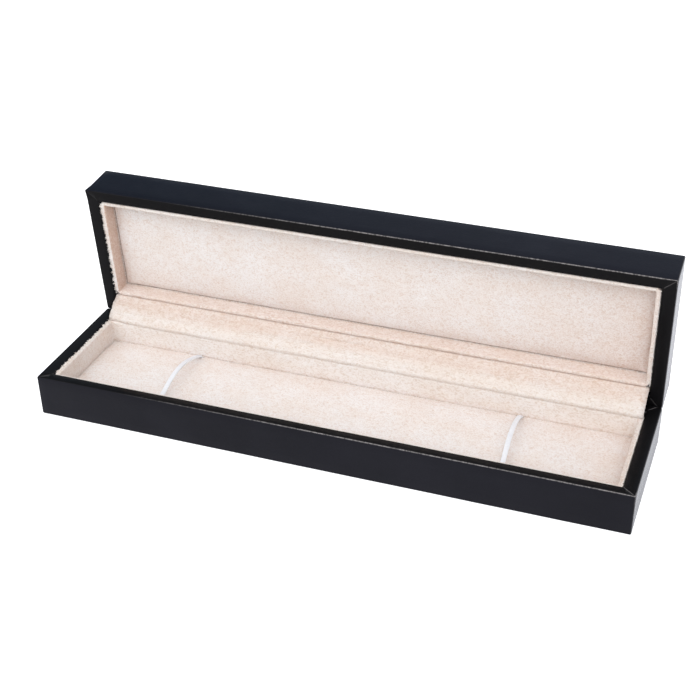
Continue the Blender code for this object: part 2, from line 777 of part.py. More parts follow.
def strap_notch_cutter(half):
    """Notches in the edges of the card and the pad that the straps pass through."""
    bm = bmesh.new()
    front = half.front_lining_face + SOFT_GAP
    back = BACK_LINING_FACE - SOFT_GAP
    reach = STRAP_WIDTH / 2 + SOFT_GAP
    for strap in STRAPS:
        for end_share, edge in ((-1, front), (1, back)):
            x = strap.x_at(end_share)
            ends = sorted((edge + end_share * CUT_OVERRUN, edge - end_share * NOTCH_DEPTH))
            add_block(bm, (x - reach, ends[0], LINING_FOOT), (x + reach, ends[1], HALF_HEIGHT))
    return add_cutter(half, "strap_notches", bm)


def strap_slot_cutter(half):
    """Slots in the top of the foam that the ends of the straps lie in."""
    bm = bmesh.new()
    front, back = strap_ends(half)
    low, foot = strap_levels()
    floor = low - STRAP_THICKNESS / 2 - SOFT_GAP
    for strap in STRAPS:
        for end_share, edge in ((-1, front), (1, back)):
            inner = edge - end_share * (STRAP_TUCK + SOFT_GAP)
            inner_share = (2 * inner - front - back) / (back - front)
            sides = (strap.x_at(end_share), strap.x_at(inner_share))
            reach = STRAP_WIDTH / 2 + SOFT_GAP
            ends = sorted((edge, inner))
            add_block(bm, (min(sides) - reach, ends[0], floor), (max(sides) + reach, ends[1], foot))
    return add_cutter(half, "strap_slots", bm)


# Hinge flap

def lid_place(y, height):
    """Where a point of the lid's half frame lies when the lid stands open."""
    place = Matrix.Rotation(-OPEN_ANGLE, 2) @ Vector((y - AXIS_Y, AXIS_HEIGHT - height))
    return place + Vector((AXIS_Y, AXIS_HEIGHT))


def flap_path(length_share):
    """Line of the flap at a place along it, from behind the base's back lining to behind the lid's.

    It lies over the base's back lining, folds up in a soft nose and climbs to the lid. Towards its
    left end it is drawn back.
    """
    behind = BACK_LINING_OUTER + SOFT_GAP + FLAP_THICKNESS / 2
    over = LINING_TOP + SOFT_GAP + FLAP_THICKNESS / 2
    draw = max(0, 1 - (1 + length_share) / FLAP_DRAW_SHARE)
    nose = BACK_LINING_FACE + FLAP_DRAW * draw * draw * (3 - 2 * draw)
    foot = Vector((nose, over + FLAP_NOSE))
    top = lid_place(behind, LINING_TOP)
    climb = top - foot
    out = Vector((-climb.y, climb.x)).normalized()
    wave = -FLAP_WAVE * cos(FLAP_WAVES * pi * length_share)
    corners = [
        (behind, LINING_TOP - FLAP_TUCK),
        (behind, over),
        (nose, over),
        foot,
        foot + climb / 2 + out * wave,
        top,
        lid_place(behind, LINING_TOP - FLAP_TUCK),
    ]
    return rounded_path(corners, FLAP_BEND, FLAP_BEND_STEPS)


def hinge_flap(half):
    """Strip of suede that covers the hinges, glued behind both back linings."""
    span = HALF_LENGTH - SIDE_RIM - SOFT_GAP
    rings = []
    for station in range(FLAP_STATIONS + 1):
        length_share = 2 * station / FLAP_STATIONS - 1
        upper, lower = ribbon_outline(flap_path(length_share), FLAP_THICKNESS)
        rings.append([(span * length_share, *point) for point in upper + lower[::-1]])
    bm = bmesh.new()
    add_loft(bm, rings)
    return add_object(half, "hinge_flap", bm, SUEDE_LOOK, smooth=True)


# Assembly

def build_half(half, board_name):
    """The frame, leather, linings and hinge leaves that both halves have."""
    knuckle_room = knuckle_room_cutter(half)
    screw_holes = screw_hole_cutter(half)
    long_rail(half, -1, half.front_rim)
    back_rail = long_rail(half, 1, BACK_RIM)
    boolean(back_rail, knuckle_room)
    boolean(back_rail, leaf_recess_cutter(half))
    boolean(back_rail, screw_holes)
    side_rail(half, -1)
    side_rail(half, 1)
    frame_board(half, board_name)
    back_spacer(half)
    linings(half)
    for side, centre in hinge_places():
        hinge_leaf(half, side, centre, screw_holes)
    for number, place in enumerate(screw_places(), 1):
        hinge_screw(half, f"{half.name}_screw_{number}", place)
    return leather_wrap(half, knuckle_room)


def build_base():
    half = Half("base", BASE_FRONT_RIM, BASE_FRONT_LINING)
    wrap = build_half(half, "floor_board")
    boolean(wrap, window_cutter(half))
    bottom_sheet(half)
    foam, card, suede = padded_stack(
        half, "insert", INSERT_FOAM, INSERT_CARD, INSERT_PAD, INSERT_CROWN
    )
    notches = strap_notch_cutter(half)
    boolean(card, notches)
    boolean(suede, notches)
    boolean(foam, strap_slot_cutter(half))
    for strap in STRAPS:
        elastic_strap(half, strap)
    for side, centre in hinge_places():
        hinge_pin(half, side, centre)
    hinge_flap(half)


def build_lid():
    half = Half("lid", LID_FRONT_RIM, LINING, add_lid_pivot())
    build_half(half, "top_board")
    padded_stack(half, "ceiling", CEILING_FOAM, CEILING_CARD, CEILING_PAD, CEILING_CROWN)


def main():
    clear_scene()
    build_base()
    build_lid()


main()
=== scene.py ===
import json
import random
from math import cos, exp, pi, radians, sin

import bmesh
import bpy
from mathutils import Matrix, Vector, noise

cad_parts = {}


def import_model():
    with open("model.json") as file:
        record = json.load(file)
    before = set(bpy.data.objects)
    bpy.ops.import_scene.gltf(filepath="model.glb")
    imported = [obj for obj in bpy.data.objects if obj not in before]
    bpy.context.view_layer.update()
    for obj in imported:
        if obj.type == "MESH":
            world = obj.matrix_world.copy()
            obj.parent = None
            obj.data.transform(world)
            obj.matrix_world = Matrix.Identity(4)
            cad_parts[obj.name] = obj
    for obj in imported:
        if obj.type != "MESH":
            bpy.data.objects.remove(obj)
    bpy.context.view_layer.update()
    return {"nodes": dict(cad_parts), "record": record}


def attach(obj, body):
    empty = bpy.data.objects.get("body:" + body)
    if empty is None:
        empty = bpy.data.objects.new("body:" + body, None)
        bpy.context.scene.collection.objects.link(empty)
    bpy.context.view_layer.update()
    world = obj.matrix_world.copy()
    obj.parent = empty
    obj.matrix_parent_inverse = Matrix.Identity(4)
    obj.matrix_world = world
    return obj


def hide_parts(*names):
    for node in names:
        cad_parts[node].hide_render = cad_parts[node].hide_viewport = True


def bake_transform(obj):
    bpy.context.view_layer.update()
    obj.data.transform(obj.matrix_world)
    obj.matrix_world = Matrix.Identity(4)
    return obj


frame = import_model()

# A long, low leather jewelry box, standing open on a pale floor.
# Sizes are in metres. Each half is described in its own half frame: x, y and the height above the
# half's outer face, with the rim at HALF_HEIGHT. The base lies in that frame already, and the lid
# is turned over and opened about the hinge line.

# Box
BOX_LENGTH = 0.2400
BOX_DEPTH = 0.0605
HALF_HEIGHT = 0.0177
CLOSING_GAP = 0.0003
STOP_GAP = 0.0001
OPEN_ANGLE = radians(85)
HALF_LENGTH = BOX_LENGTH / 2
FRONT_Y = -BOX_DEPTH / 2
BACK_Y = BOX_DEPTH / 2
HINGE_INSET = 0.0024
AXIS_Y = BACK_Y - HINGE_INSET
AXIS_HEIGHT = HALF_HEIGHT + CLOSING_GAP / 2
SLOPE = OPEN_ANGLE / 2
NEAR = 0.00001
SAME_WAY = 0.999

# Leather
LEATHER = 0.0006
EDGE_ROUND = 0.00065
INNER_ROUND = 0.0005
TURN_IN = 0.0030
TURN_UNDER = 0.0050
SIDE_RIM = 0.00545
BACK_RIM = 0.0064
HINGE_MIDDLES = (-0.0750, 0.0750)
HINGE_REACH = 0.0134
KNUCKLE_ROOM = 0.0019
LEATHER_CELL = 0.004
LEATHER_SWAY = 0.00006
LEATHER_SWAYS_PER_METRE = 55
CORNER_PULL = (-0.00055, -0.00015, 0.00010)
CORNER_REACH = 0.0009

# Seams, and how strong a highlight is painted along each of them, from 0 to 1
SEAM_WIDTH = 0.00022
SEAM_DEPTH = 0.00022
SEAM_FADE = 0.0016
SEAM_START_MARGIN = 0.0002
SEAM_END_MARGIN = 0.001
LEFT_SEAM_HIGHLIGHT = 0.15
BASE_SEAM_HIGHLIGHT = 1.0
LID_BACK_SEAM_HIGHLIGHT = 0.3
LID_FRONT_SEAM_HIGHLIGHT = 0.55
UNDER_SEAM_HIGHLIGHT = 0.2

# Pale edges, partly wear and partly a painted highlight on the rounded edges: how strong they are at
# least, and the shares of the box's length at which they start on the front rim and over which they
# rise
LEAST_WEAR_AND_HIGHLIGHT = 0.10
WEAR_AND_HIGHLIGHT_START = 0.15
WEAR_AND_HIGHLIGHT_RISE = 0.35
TURNED_EDGE = 0.28

# Linings, with the places in millimetres where they are sliced
LINING = 0.0017
LINING_FOOT = 0.0035
LINING_TOP = HALF_HEIGHT - 0.0005
LINING_X = 0.11435
LINING_BACK = 0.02025
LINING_ROUND = 0.0006
LINING_GAP = 0.0002
LINING_INNER_ROUND = 0.0003
LINING_SWAY = 0.00014
LINING_WALL = LINING * 1.2
LINING_SLICES_X = range(-113, 114)
LINING_SLICES_Y = range(-24, 20)
CREASE_SHADE_HEIGHT = 0.0005

# Shade painted on the suede as a redder, darker colour, from 0 to 1, on creases and on walls and parts
# in shade
LID_LEFT_WALL_SHADE = 0.80
LID_BACK_WALL_SHADE = 0.40
LID_RIGHT_WALL_SHADE = 0.22
BASE_RIGHT_EDGE_SHADE = 0.26
BASE_LEFT_WALL_SHADE = 0.12
FLAP_HEM_SHADE = (0.25, 0.8)
FLAP_FOLD_SHADE = 0.28
FLAP_UPPER_SHADE = 0.35
LID_PAD_END_SHADE = 0.34
BASE_PAD_END_SHADE = 0.16
PAD_BACK_SHADE = 0.16
PAD_CLOUD_SHADE = 0.18
PAD_EDGE_SHARE = 0.9

# Pile
FIBRES = 8
NAP_TOP = HALF_HEIGHT + 0.0001

# Cushions
CUSHION_STEP = 0.003
CUSHION_ROWS = 16
CUSHION_ROUND = 0.0002
CUSHION_EDGE = 0.0005
CUSHION_BUMPS = 0.00010
NOTCH_SLICES = (-0.0017, -0.0013, 0.0013, 0.0017)
NOTCH_HALF_WIDTH = 0.00135
NOTCH_REACH = 0.0011
NOTCH_DEPTH = 0.0010
CLOTH_STEPS = 20

# Straps
STRAP_WIDTH = 0.0019
STRAP_THICKNESS = 0.0007
STRAP_ROUND = 0.00022
STRAP_RISE = 0.0044
STRAP_FOOT = 0.00895
STRAP_TUCK = ((0.0090, 0.00525), (0.0008, 0.00525), (0.0001, 0.0056), (0, 0.0070))
STRAP_FRONT_GAP = 0.00085
STRAP_BACK_GAP = 0.00055
LEFT_STRAP_X = -0.0721
RIGHT_STRAP_X = 0.0680

# Flap
FLAP_THICKNESS = 0.0006
FLAP_TUCK = 0.0022
FLAP_END_GAP = 0.0003
FLAP_STEPS = 24
FLAP_DRAWN_END = 0.12
FLAP_DRAWN_BACK = 0.0010
FLAP_WAVE = 0.0005
FLAP_FOLD = 0.00030
FLAP_CRINKLE = 0.00008
FLAP_LINES = ((0.36, 0.006, 0.6), (0.47, 0.010, 0.9), (0.62, 0.008, 0.5), (0.74, 0.006, 0.8))
FLAP_CREASE_DEPTH = 0.00016

# How bright the floor is in a reflection, and in the contact shadow painted on it close by the box
FLOOR_MIRRORED = 1.28
FLOOR_MIRRORED_IN_PAINTED_SHADOW = 0.80

LID_PLACE = (
    Matrix.Translation((0, AXIS_Y, AXIS_HEIGHT))
    @ Matrix.Rotation(-OPEN_ANGLE, 4, "X")
    @ Matrix.Diagonal((1, 1, -1, 1))
    @ Matrix.Translation((0, -AXIS_Y, -AXIS_HEIGHT))
)


class Half:
    """What sets one half of the box apart from the other."""

    def __init__(self, name, front_rim, front_lining, back_round, front_round, pad_top, crease, place):
        self.name = name
        self.pad_top = pad_top
        self.crease = crease
        self.mouth_front = FRONT_Y + front_rim
        self.lining_front = self.mouth_front + LINING_GAP
        self.lining_face = self.lining_front + front_lining
        self.back_round = back_round
        self.front_round = front_round
        self.place = place


BASE = Half(
    "base", front_rim=0.00425, front_lining=0.0008, back_round=0.0016, front_round=0.0008,
    pad_top=0.0083, crease=0.36, place=Matrix.Identity(4),
)
LID = Half(
    "lid", front_rim=0.00468, front_lining=LINING, back_round=0.0030, front_round=0.0017,
    pad_top=0.0107, crease=0.48, place=LID_PLACE,
)
MOUTH_X = HALF_LENGTH - SIDE_RIM
MOUTH_BACK = BACK_Y - BACK_RIM


# Nodes of a material

def add_node(tree, kind, inputs=None, **settings):
    made = tree.nodes.new("ShaderNode" + kind)
    for name, value in settings.items():
        setattr(made, name, value)
    for name, value in (inputs or {}).items():
        if isinstance(value, bpy.types.NodeSocket):
            tree.links.new(value, made.inputs[name])
        else:
            made.inputs[name].default_value = value
    return made


def start_material(name, roughness, **values):
    """New material with these values on its shader's sockets."""
    material = bpy.data.materials.new(name)
    material.use_nodes = True
    tree = material.node_tree
    shader = tree.nodes["Principled BSDF"]
    shader.inputs["Roughness"].default_value = roughness
    for socket, value in values.items():
        shader.inputs[socket.replace("_", " ")].default_value = value
    return material, tree, shader


def place_of(tree, scale=(1, 1, 1), turn=(0, 0, 0)):
    """Place on the piece, stretched and turned as the pattern needs."""
    coordinates = add_node(tree, "TexCoord")
    mapping = add_node(tree, "Mapping", {
        "Vector": coordinates.outputs["Object"], "Scale": scale, "Rotation": turn,
    })
    return mapping.outputs["Vector"]


def mark_of(tree, name):
    """What a vertex layer of this name holds."""
    return add_node(tree, "Attribute", attribute_name=name).outputs["Fac"]


def noise_of(tree, place, size, detail=2.0, roughness=0.5):
    """Even noise whose patches are about this size."""
    made = add_node(tree, "TexNoise", {
        "Vector": place, "Scale": 1 / size, "Detail": detail, "Roughness": roughness,
    })
    return made.outputs["Fac"]


def ramp(tree, factor, *stops):
    """Colour ramp from pairs of a position and a colour."""
    made = add_node(tree, "ValToRGB", {"Fac": factor})
    elements = made.color_ramp.elements
    while len(elements) < len(stops):
        elements.new(0.5)
    for element, (position, colour) in zip(elements, stops):
        element.position = position
        element.color = (*colour, 1)
    return made.outputs["Color"]


def spread(tree, value, low, high, new_low, new_high):
    """Move a value from one range to another, and hold it there."""
    made = add_node(tree, "MapRange", {
        "Value": value, "From Min": low, "From Max": high, "To Min": new_low, "To Max": new_high,
    })
    return made.outputs["Result"]


def mix_colour(tree, factor, first, second, blend_type="MIX"):
    made = add_node(tree, "Mix", data_type="RGBA", blend_type=blend_type)
    factor_socket, first_socket, second_socket = made.inputs[0], made.inputs[6], made.inputs[7]
    for socket, value in ((factor_socket, factor), (first_socket, first), (second_socket, second)):
        if isinstance(value, bpy.types.NodeSocket):
            tree.links.new(value, socket)
        else:
            socket.default_value = value
    return made.outputs[2]


def reckon(tree, operation, first, second=0.0):
    made = add_node(tree, "Math", {0: first, 1: second}, operation=operation)
    return made.outputs[0]


def bump(tree, height, distance, strength, under=None):
    inputs = {"Height": height, "Distance": distance, "Strength": strength}
    if under:
        inputs["Normal"] = under
    return add_node(tree, "Bump", inputs).outputs["Normal"]


def finish_material(tree, shader, colour, normal, roughness=None):
    tree.links.new(colour, shader.inputs["Base Color"])
    tree.links.new(normal, shader.inputs["Normal"])
    if roughness:
        tree.links.new(roughness, shader.inputs["Roughness"])


# Materials

def leather_material(name, dressing, dark, light):
    """Blue-black leather with a fine grain under a smooth dressing, pale along the edges from wear and
    a painted highlight.
    """
    material, tree, shader = start_material(
        name, 0.55, Specular_IOR_Level=0.05,
        Coat_Weight=dressing, Coat_Roughness=0.11, Coat_IOR=1.18,
    )
    pale_wear_and_highlight = (0.36, 0.34, 0.34, 1)
    place = place_of(tree)
    patches = noise_of(tree, place, size=0.030, detail=3)
    colour = ramp(tree, patches, (0.30, dark), (0.75, light))
    pores = add_node(tree, "TexVoronoi", {"Vector": place, "Scale": 1700.0}).outputs["Distance"]
    wrinkles = noise_of(tree, place, size=0.0011, detail=4, roughness=0.6)
    grain = reckon(tree, "ADD", reckon(tree, "MULTIPLY", pores, 0.5), wrinkles)
    # Paleness along the rounded edges: partly wear, partly a painted highlight.
    worn = mark_of(tree, "worn")
    flecks = noise_of(tree, place, size=0.0009, detail=3, roughness=0.7)
    rubbed_and_highlit = reckon(tree, "MULTIPLY", worn, spread(tree, flecks, 0.38, 0.62, 0.25, 1.0))
    # The seams are painted pale along their line: a painted highlight on the cut leather edge.
    seam = mark_of(tree, "seam")
    marked = reckon(tree, "MAXIMUM", rubbed_and_highlit, reckon(tree, "MULTIPLY", seam, 0.55))
    colour = mix_colour(tree, marked, colour, pale_wear_and_highlight)
    cloudy = spread(tree, noise_of(tree, place, size=0.012, detail=3), 0.3, 0.7, 0.48, 0.62)
    normal = bump(tree, grain, distance=0.00008, strength=0.6)
    waves = noise_of(tree, place_of(tree, scale=(0.35, 1, 1)), size=0.0040, detail=2)
    waviness = bump(tree, waves, distance=0.00008, strength=0.5)
    gloss = bump(tree, wrinkles, distance=0.00009, strength=0.5, under=waviness)
    tree.links.new(gloss, shader.inputs["Coat Normal"])
    finish_material(tree, shader, colour, normal, cloudy)
    return material


def suede_material(name, light, dark, shade, curl=0.00115, pile=1.0, brushed=0.6, turn=(0, 0, 0)):
    """Cream suede: short curled pile, brushed along the box, with shade painted in as a redder, darker
    colour on marked creases and shaded walls.
    """
    material, tree, shader = start_material(
        name, 0.95, Sheen_Weight=0.25, Sheen_Roughness=0.45, Specular_IOR_Level=0.12,
    )
    shader.inputs["Sheen Tint"].default_value = (1.0, 0.96, 0.94, 1)
    lit_pile, raised_pile = (0.965, 0.955, 0.95), (1.0, 1.0, 1.0)
    painted_shade_red = (0.56, 0.36, 0.27, 1)
    place = place_of(tree, (brushed, 1, 1), turn)
    patches = noise_of(tree, place, size=0.013, detail=4, roughness=0.6)
    colour = ramp(tree, patches, (0.36, dark), (0.62, light))
    curls = add_node(tree, "TexNoise", {
        "Vector": place, "Scale": 1 / curl, "Detail": 1.5, "Roughness": 0.5, "Distortion": 1.6,
    }).outputs["Fac"]
    hairs = noise_of(tree, place, size=0.00040, detail=3, roughness=0.6)
    curled = reckon(tree, "MULTIPLY", curls, 0.55)
    pile_height = reckon(tree, "ADD", curled, reckon(tree, "MULTIPLY", hairs, 0.45))
    tint = ramp(tree, pile_height, (0.37, shade), (0.50, lit_pile), (0.61, raised_pile))
    colour = mix_colour(tree, 1.0, colour, tint, "MULTIPLY")
    # Painted shade: where the layer marks creases and walls in shade, the colour turns redder and
    # darker, unevenly with the pile.
    crease = mark_of(tree, "crease")
    uneven = reckon(tree, "MULTIPLY", crease, spread(tree, pile_height, 0.40, 0.58, 1.15, 0.65))
    colour = mix_colour(tree, uneven, colour, painted_shade_red)
    swells = noise_of(tree, place, size=0.0045, detail=2)
    normal = bump(tree, swells, distance=0.0006, strength=0.35 * pile)
    normal = bump(tree, curls, distance=0.00035, strength=0.55 * pile, under=normal)
    normal = bump(tree, hairs, distance=0.00020, strength=0.70 * pile, under=normal)
    finish_material(tree, shader, colour, normal)
    return material


def elastic_material():
    """White elastic braid with fine cross ribs and a faint sheen."""
    material, tree, shader = start_material(
        "white_elastic", 0.62, Sheen_Weight=0.25, Sheen_Roughness=0.4, Specular_IOR_Level=0.3,
    )
    along = mark_of(tree, "along")
    across = mark_of(tree, "across")
    rib_spacing, thread_spacing = 0.00042, 0.00040
    ribs = reckon(tree, "SINE", reckon(tree, "MULTIPLY", along, 2 * pi / rib_spacing))
    threads = reckon(tree, "SINE", reckon(tree, "MULTIPLY", across, 2 * pi / thread_spacing))
    weave = reckon(tree, "ADD", reckon(tree, "MULTIPLY", ribs, 0.6), threads)
    weave_height = spread(tree, weave, -1.6, 1.6, 0, 1)
    # The low parts of the weave are darker: painted shade in its grooves.
    colour = ramp(tree, weave_height, (0.0, (0.80, 0.83, 0.92)), (0.45, (0.94, 0.96, 1.0)))
    loose = noise_of(tree, place_of(tree), size=0.0010, detail=3)
    fray = ramp(tree, loose, (0.3, (0.93, 0.93, 0.94)), (0.7, (1.0, 1.0, 1.0)))
    colour = mix_colour(tree, 1.0, colour, fray, "MULTIPLY")
    finish_material(tree, shader, colour, bump(tree, weave, distance=0.00006, strength=0.7))
    return material


def fibre_material(name, roughness, along, size, detail, uneven, colours, depth, strength, **values):
    """Material whose colour and relief follow one pattern of fibres that run along the box."""
    material, tree, shader = start_material(name, roughness, **values)
    fibres = noise_of(tree, place_of(tree, scale=(along, 1, 1)), size, detail, uneven)
    colour = ramp(tree, fibres, *colours)
    finish_material(tree, shader, colour, bump(tree, fibres, depth, strength))
    return material


def foam_material():
    """Open-celled foam, with shade painted darker in the hollow of each cell."""
    material, tree, shader = start_material("soft_foam", 1.0, Specular_IOR_Level=0.1)
    cells = add_node(tree, "TexVoronoi", {"Vector": place_of(tree), "Scale": 1500.0})
    hollow = cells.outputs["Distance"]
    colour = ramp(tree, hollow, (0.05, (0.50, 0.48, 0.42)), (0.35, (0.78, 0.77, 0.72)))
    finish_material(tree, shader, colour, bump(tree, hollow, distance=0.0003, strength=0.8))
    return material


def steel_material():
    """Stamped and turned steel, brushed along the hinge."""
    material, tree, shader = start_material("plain_steel", 0.32, Metallic=1.0)
    place = place_of(tree, scale=(0.08, 1, 1))
    lines = noise_of(tree, place, size=0.0002, detail=3, roughness=0.6)
    colour = ramp(tree, lines, (0.30, (0.50, 0.51, 0.52)), (0.70, (0.66, 0.67, 0.68)))
    roughness = spread(tree, lines, 0.3, 0.7, 0.26, 0.42)
    normal = bump(tree, lines, distance=0.00001, strength=0.4)
    finish_material(tree, shader, colour, normal, roughness)
    return material


LEATHER_LOOK = leather_material(
    "blue_black_leather", dressing=1.0, dark=(0.0050, 0.0050, 0.0085), light=(0.0080, 0.0080, 0.0130),
)
# Leather for the up-facing rim faces: a thinner dressing, and darker, warmer colours that are painted
# shade.
SHADED_RIM_LOOK = leather_material(
    "rim_leather", dressing=0.40, dark=(0.0040, 0.0038, 0.0042), light=(0.0060, 0.0056, 0.0062),
)
SUEDE_LOOK = suede_material(
    "cream_suede", light=(0.882, 0.856, 0.850), dark=(0.858, 0.800, 0.768), shade=(0.85, 0.765, 0.71),
    curl=0.00090, brushed=0.75, turn=(0, radians(35), radians(35)),
)
BRUSHED_LOOK = suede_material(
    "brushed_suede", light=(0.850, 0.815, 0.795), dark=(0.825, 0.760, 0.715), shade=(0.84, 0.77, 0.71),
)
# A darker copy of the lining suede for the flap: painted shade on a part that faces up into the light.
SHADED_FLAP_LOOK = suede_material(
    "flap_suede", light=(0.805, 0.765, 0.740), dark=(0.785, 0.715, 0.665), shade=(0.84, 0.77, 0.71),
)
NAP_LOOK = suede_material(
    "suede_nap", light=(0.90, 0.87, 0.85), dark=(0.89, 0.84, 0.80), shade=(0.85, 0.785, 0.74), pile=0.3,
)
ELASTIC_LOOK = elastic_material()
CAD_LOOKS = {
    "wood": fibre_material(
        "sanded_wood", 0.75, along=0.12, size=0.0011, detail=4, uneven=0.6, depth=0.00006, strength=0.5,
        colours=((0.30, (0.38, 0.26, 0.155)), (0.55, (0.50, 0.37, 0.24)), (0.75, (0.58, 0.45, 0.31))),
    ),
    "card": fibre_material(
        "pasteboard", 0.90, along=0.35, size=0.0005, detail=3, uneven=0.7, depth=0.00004, strength=0.5,
        colours=((0.28, (0.33, 0.28, 0.22)), (0.50, (0.45, 0.40, 0.33)), (0.74, (0.56, 0.51, 0.43))),
    ),
    "foam": foam_material(),
    "felt": fibre_material(
        "black_felt", 1.0, along=1, size=0.0006, detail=5, uneven=0.75, depth=0.0002, strength=0.8,
        colours=((0.35, (0.016, 0.016, 0.017)), (0.70, (0.055, 0.055, 0.058))),
        Sheen_Weight=0.2, Sheen_Roughness=0.6, Specular_IOR_Level=0.1,
    ),
    "steel": steel_material(),
}


# Making pieces

def everything(bm):
    return bm.verts[:] + bm.edges[:] + bm.faces[:]


def whole_of(faces):
    """Faces with their edges and corners."""
    edges = {edge for face in faces for edge in face.edges}
    verts = {vert for face in faces for vert in face.verts}
    return list(verts) + list(edges) + list(faces)


def slice_at(bm, point, normal, faces=None):
    """Cut the mesh, or only some of its faces, along a plane without taking anything away."""
    geom = everything(bm) if faces is None else whole_of(faces)
    bmesh.ops.bisect_plane(bm, geom=geom, dist=NEAR / 10, plane_co=point, plane_no=normal)


def soften(bm, edges, radius, segments):
    bmesh.ops.bevel(
        bm, geom=edges, offset=radius, offset_type="OFFSET", segments=segments, profile=0.5,
        affect="EDGES", clamp_overlap=True, material=-1,
    )


def round_corners(bm, verts, radius, segments):
    bmesh.ops.bevel(
        bm, geom=verts, offset=radius, offset_type="OFFSET", segments=segments, profile=0.5,
        affect="VERTICES", material=-1,
    )


def kept(made, kind):
    """The vertices, edges or faces among what an operator made."""
    return [item for item in made["geom"] if isinstance(item, kind)]


def add_object(name, data):
    thing = bpy.data.objects.new(name, data)
    bpy.context.scene.collection.objects.link(thing)
    return thing


def add_piece(name, bm, half, material, crisp=40):
    """Put a finished half-frame mesh in its place, with its material and smooth faces."""
    if half is LID:
        bmesh.ops.reverse_faces(bm, faces=bm.faces[:])
    bmesh.ops.transform(bm, matrix=half.place, verts=bm.verts[:])
    mesh = bpy.data.meshes.new(name)
    bm.to_mesh(mesh)
    bm.free()
    mesh.materials.append(material)
    mesh.shade_smooth()
    mesh.set_sharp_from_angle(angle=radians(crisp))
    thing = add_object(name, mesh)
    return thing


# Leather wraps

def block(bm, low, high):
    middle = (Vector(low) + Vector(high)) / 2
    size = Vector(high) - Vector(low)
    bmesh.ops.create_cube(bm, size=1, matrix=Matrix.Translation(middle) @ Matrix.Diagonal((*size, 1)))


def cut_back_bevel(bm):
    normal = Vector((0, sin(SLOPE), cos(SLOPE)))
    point = Vector((0, AXIS_Y, AXIS_HEIGHT)) - normal * STOP_GAP / 2
    cut = bmesh.ops.bisect_plane(
        bm, geom=everything(bm), dist=NEAR / 10, plane_co=point, plane_no=normal, clear_outer=True,
    )
    edges = [item for item in cut["geom_cut"] if isinstance(item, bmesh.types.BMEdge)]
    bmesh.ops.edgeloop_fill(bm, edges=edges)


def in_mouth(point, half, margin=0.0):
    inside_x = abs(point.x) < MOUTH_X + margin
    return inside_x and half.mouth_front - margin < point.y < MOUTH_BACK + margin


def open_mouth(bm, half):
    """Open the rim and turn its edge in and down."""
    for x in (-MOUTH_X, MOUTH_X):
        slice_at(bm, (x, 0, 0), (1, 0, 0))
    for y in (half.mouth_front, MOUTH_BACK):
        slice_at(bm, (0, y, 0), (0, 1, 0))
    middles = {face: face.calc_center_median() for face in bm.faces}
    inside = [
        face for face, middle in middles.items()
        if middle.z > HALF_HEIGHT - NEAR and in_mouth(middle, half)
    ]
    turned = bmesh.ops.extrude_face_region(bm, geom=whole_of(inside))
    bmesh.ops.translate(bm, vec=(0, 0, -TURN_IN), verts=kept(turned, bmesh.types.BMVert))
    bmesh.ops.delete(bm, geom=kept(turned, bmesh.types.BMFace), context="FACES")
    border = [
        edge for edge in bm.edges
        if all(abs(vert.co.z - HALF_HEIGHT) < NEAR for vert in edge.verts)
        and all(in_mouth(vert.co, half, NEAR) for vert in edge.verts)
    ]
    soften(bm, border, INNER_ROUND, 3)


def open_underside(bm):
    """Leave only a turned-under edge on the underside."""
    x, y = HALF_LENGTH - TURN_UNDER, BACK_Y - TURN_UNDER
    for side in (-1, 1):
        slice_at(bm, (side * x, 0, 0), (1, 0, 0))
        slice_at(bm, (0, side * y, 0), (0, 1, 0))
    middles = {face: face.calc_center_median() for face in bm.faces}
    bare = [
        face for face, middle in middles.items()
        if middle.z < NEAR and abs(middle.x) < x and abs(middle.y) < y
    ]
    bmesh.ops.delete(bm, geom=bare, context="FACES")


def open_hinge_windows(bm):
    """Cut the leather away where the hinge leaves and knuckles lie."""
    for middle in HINGE_MIDDLES:
        for side in (-1, 1):
            slice_at(bm, (middle + side * HINGE_REACH, 0, 0), (1, 0, 0))
    axis = Vector((0, AXIS_Y, AXIS_HEIGHT))
    down = Vector((0, cos(SLOPE), -sin(SLOPE)))
    out = Vector((0, sin(SLOPE), cos(SLOPE)))
    bm.normal_update()
    slope_faces = [face for face in bm.faces if face.normal.dot(out) > SAME_WAY]
    slice_at(bm, axis + down * KNUCKLE_ROOM, down, slope_faces)
    gone = []
    for face in bm.faces:
        middle = face.calc_center_median()
        near_hinge = any(abs(middle.x - place) < HINGE_REACH for place in HINGE_MIDDLES)
        high = middle.z > HALF_HEIGHT - TURN_IN - NEAR and middle.y > MOUTH_BACK - NEAR
        if near_hinge and high and (middle - axis).dot(down) < KNUCKLE_ROOM:
            gone.append(face)
    bmesh.ops.delete(bm, geom=gone, context="FACES")


def rim_seams(bm, half, seam_highlight_layer):
    """Mitre seams over the rim, from each inner corner of the mouth to the outer corner, with painted
    highlights.
    """
    for side_x in (-1, 1):
        for inner_y, outer_y in ((half.mouth_front, FRONT_Y), (MOUTH_BACK, BACK_Y)):
            inner = Vector((side_x * MOUTH_X, inner_y, 0))
            outer = Vector((side_x * HALF_LENGTH, outer_y, 0))
            seam_highlight = BASE_SEAM_HIGHLIGHT if half is BASE else LID_BACK_SEAM_HIGHLIGHT if outer_y > 0 else LID_FRONT_SEAM_HIGHLIGHT
            if side_x < 0:
                seam_highlight *= LEFT_SEAM_HIGHLIGHT
            seam(bm, inner, outer, HALF_HEIGHT - EDGE_ROUND * 1.05, 1, seam_highlight_layer, seam_highlight)


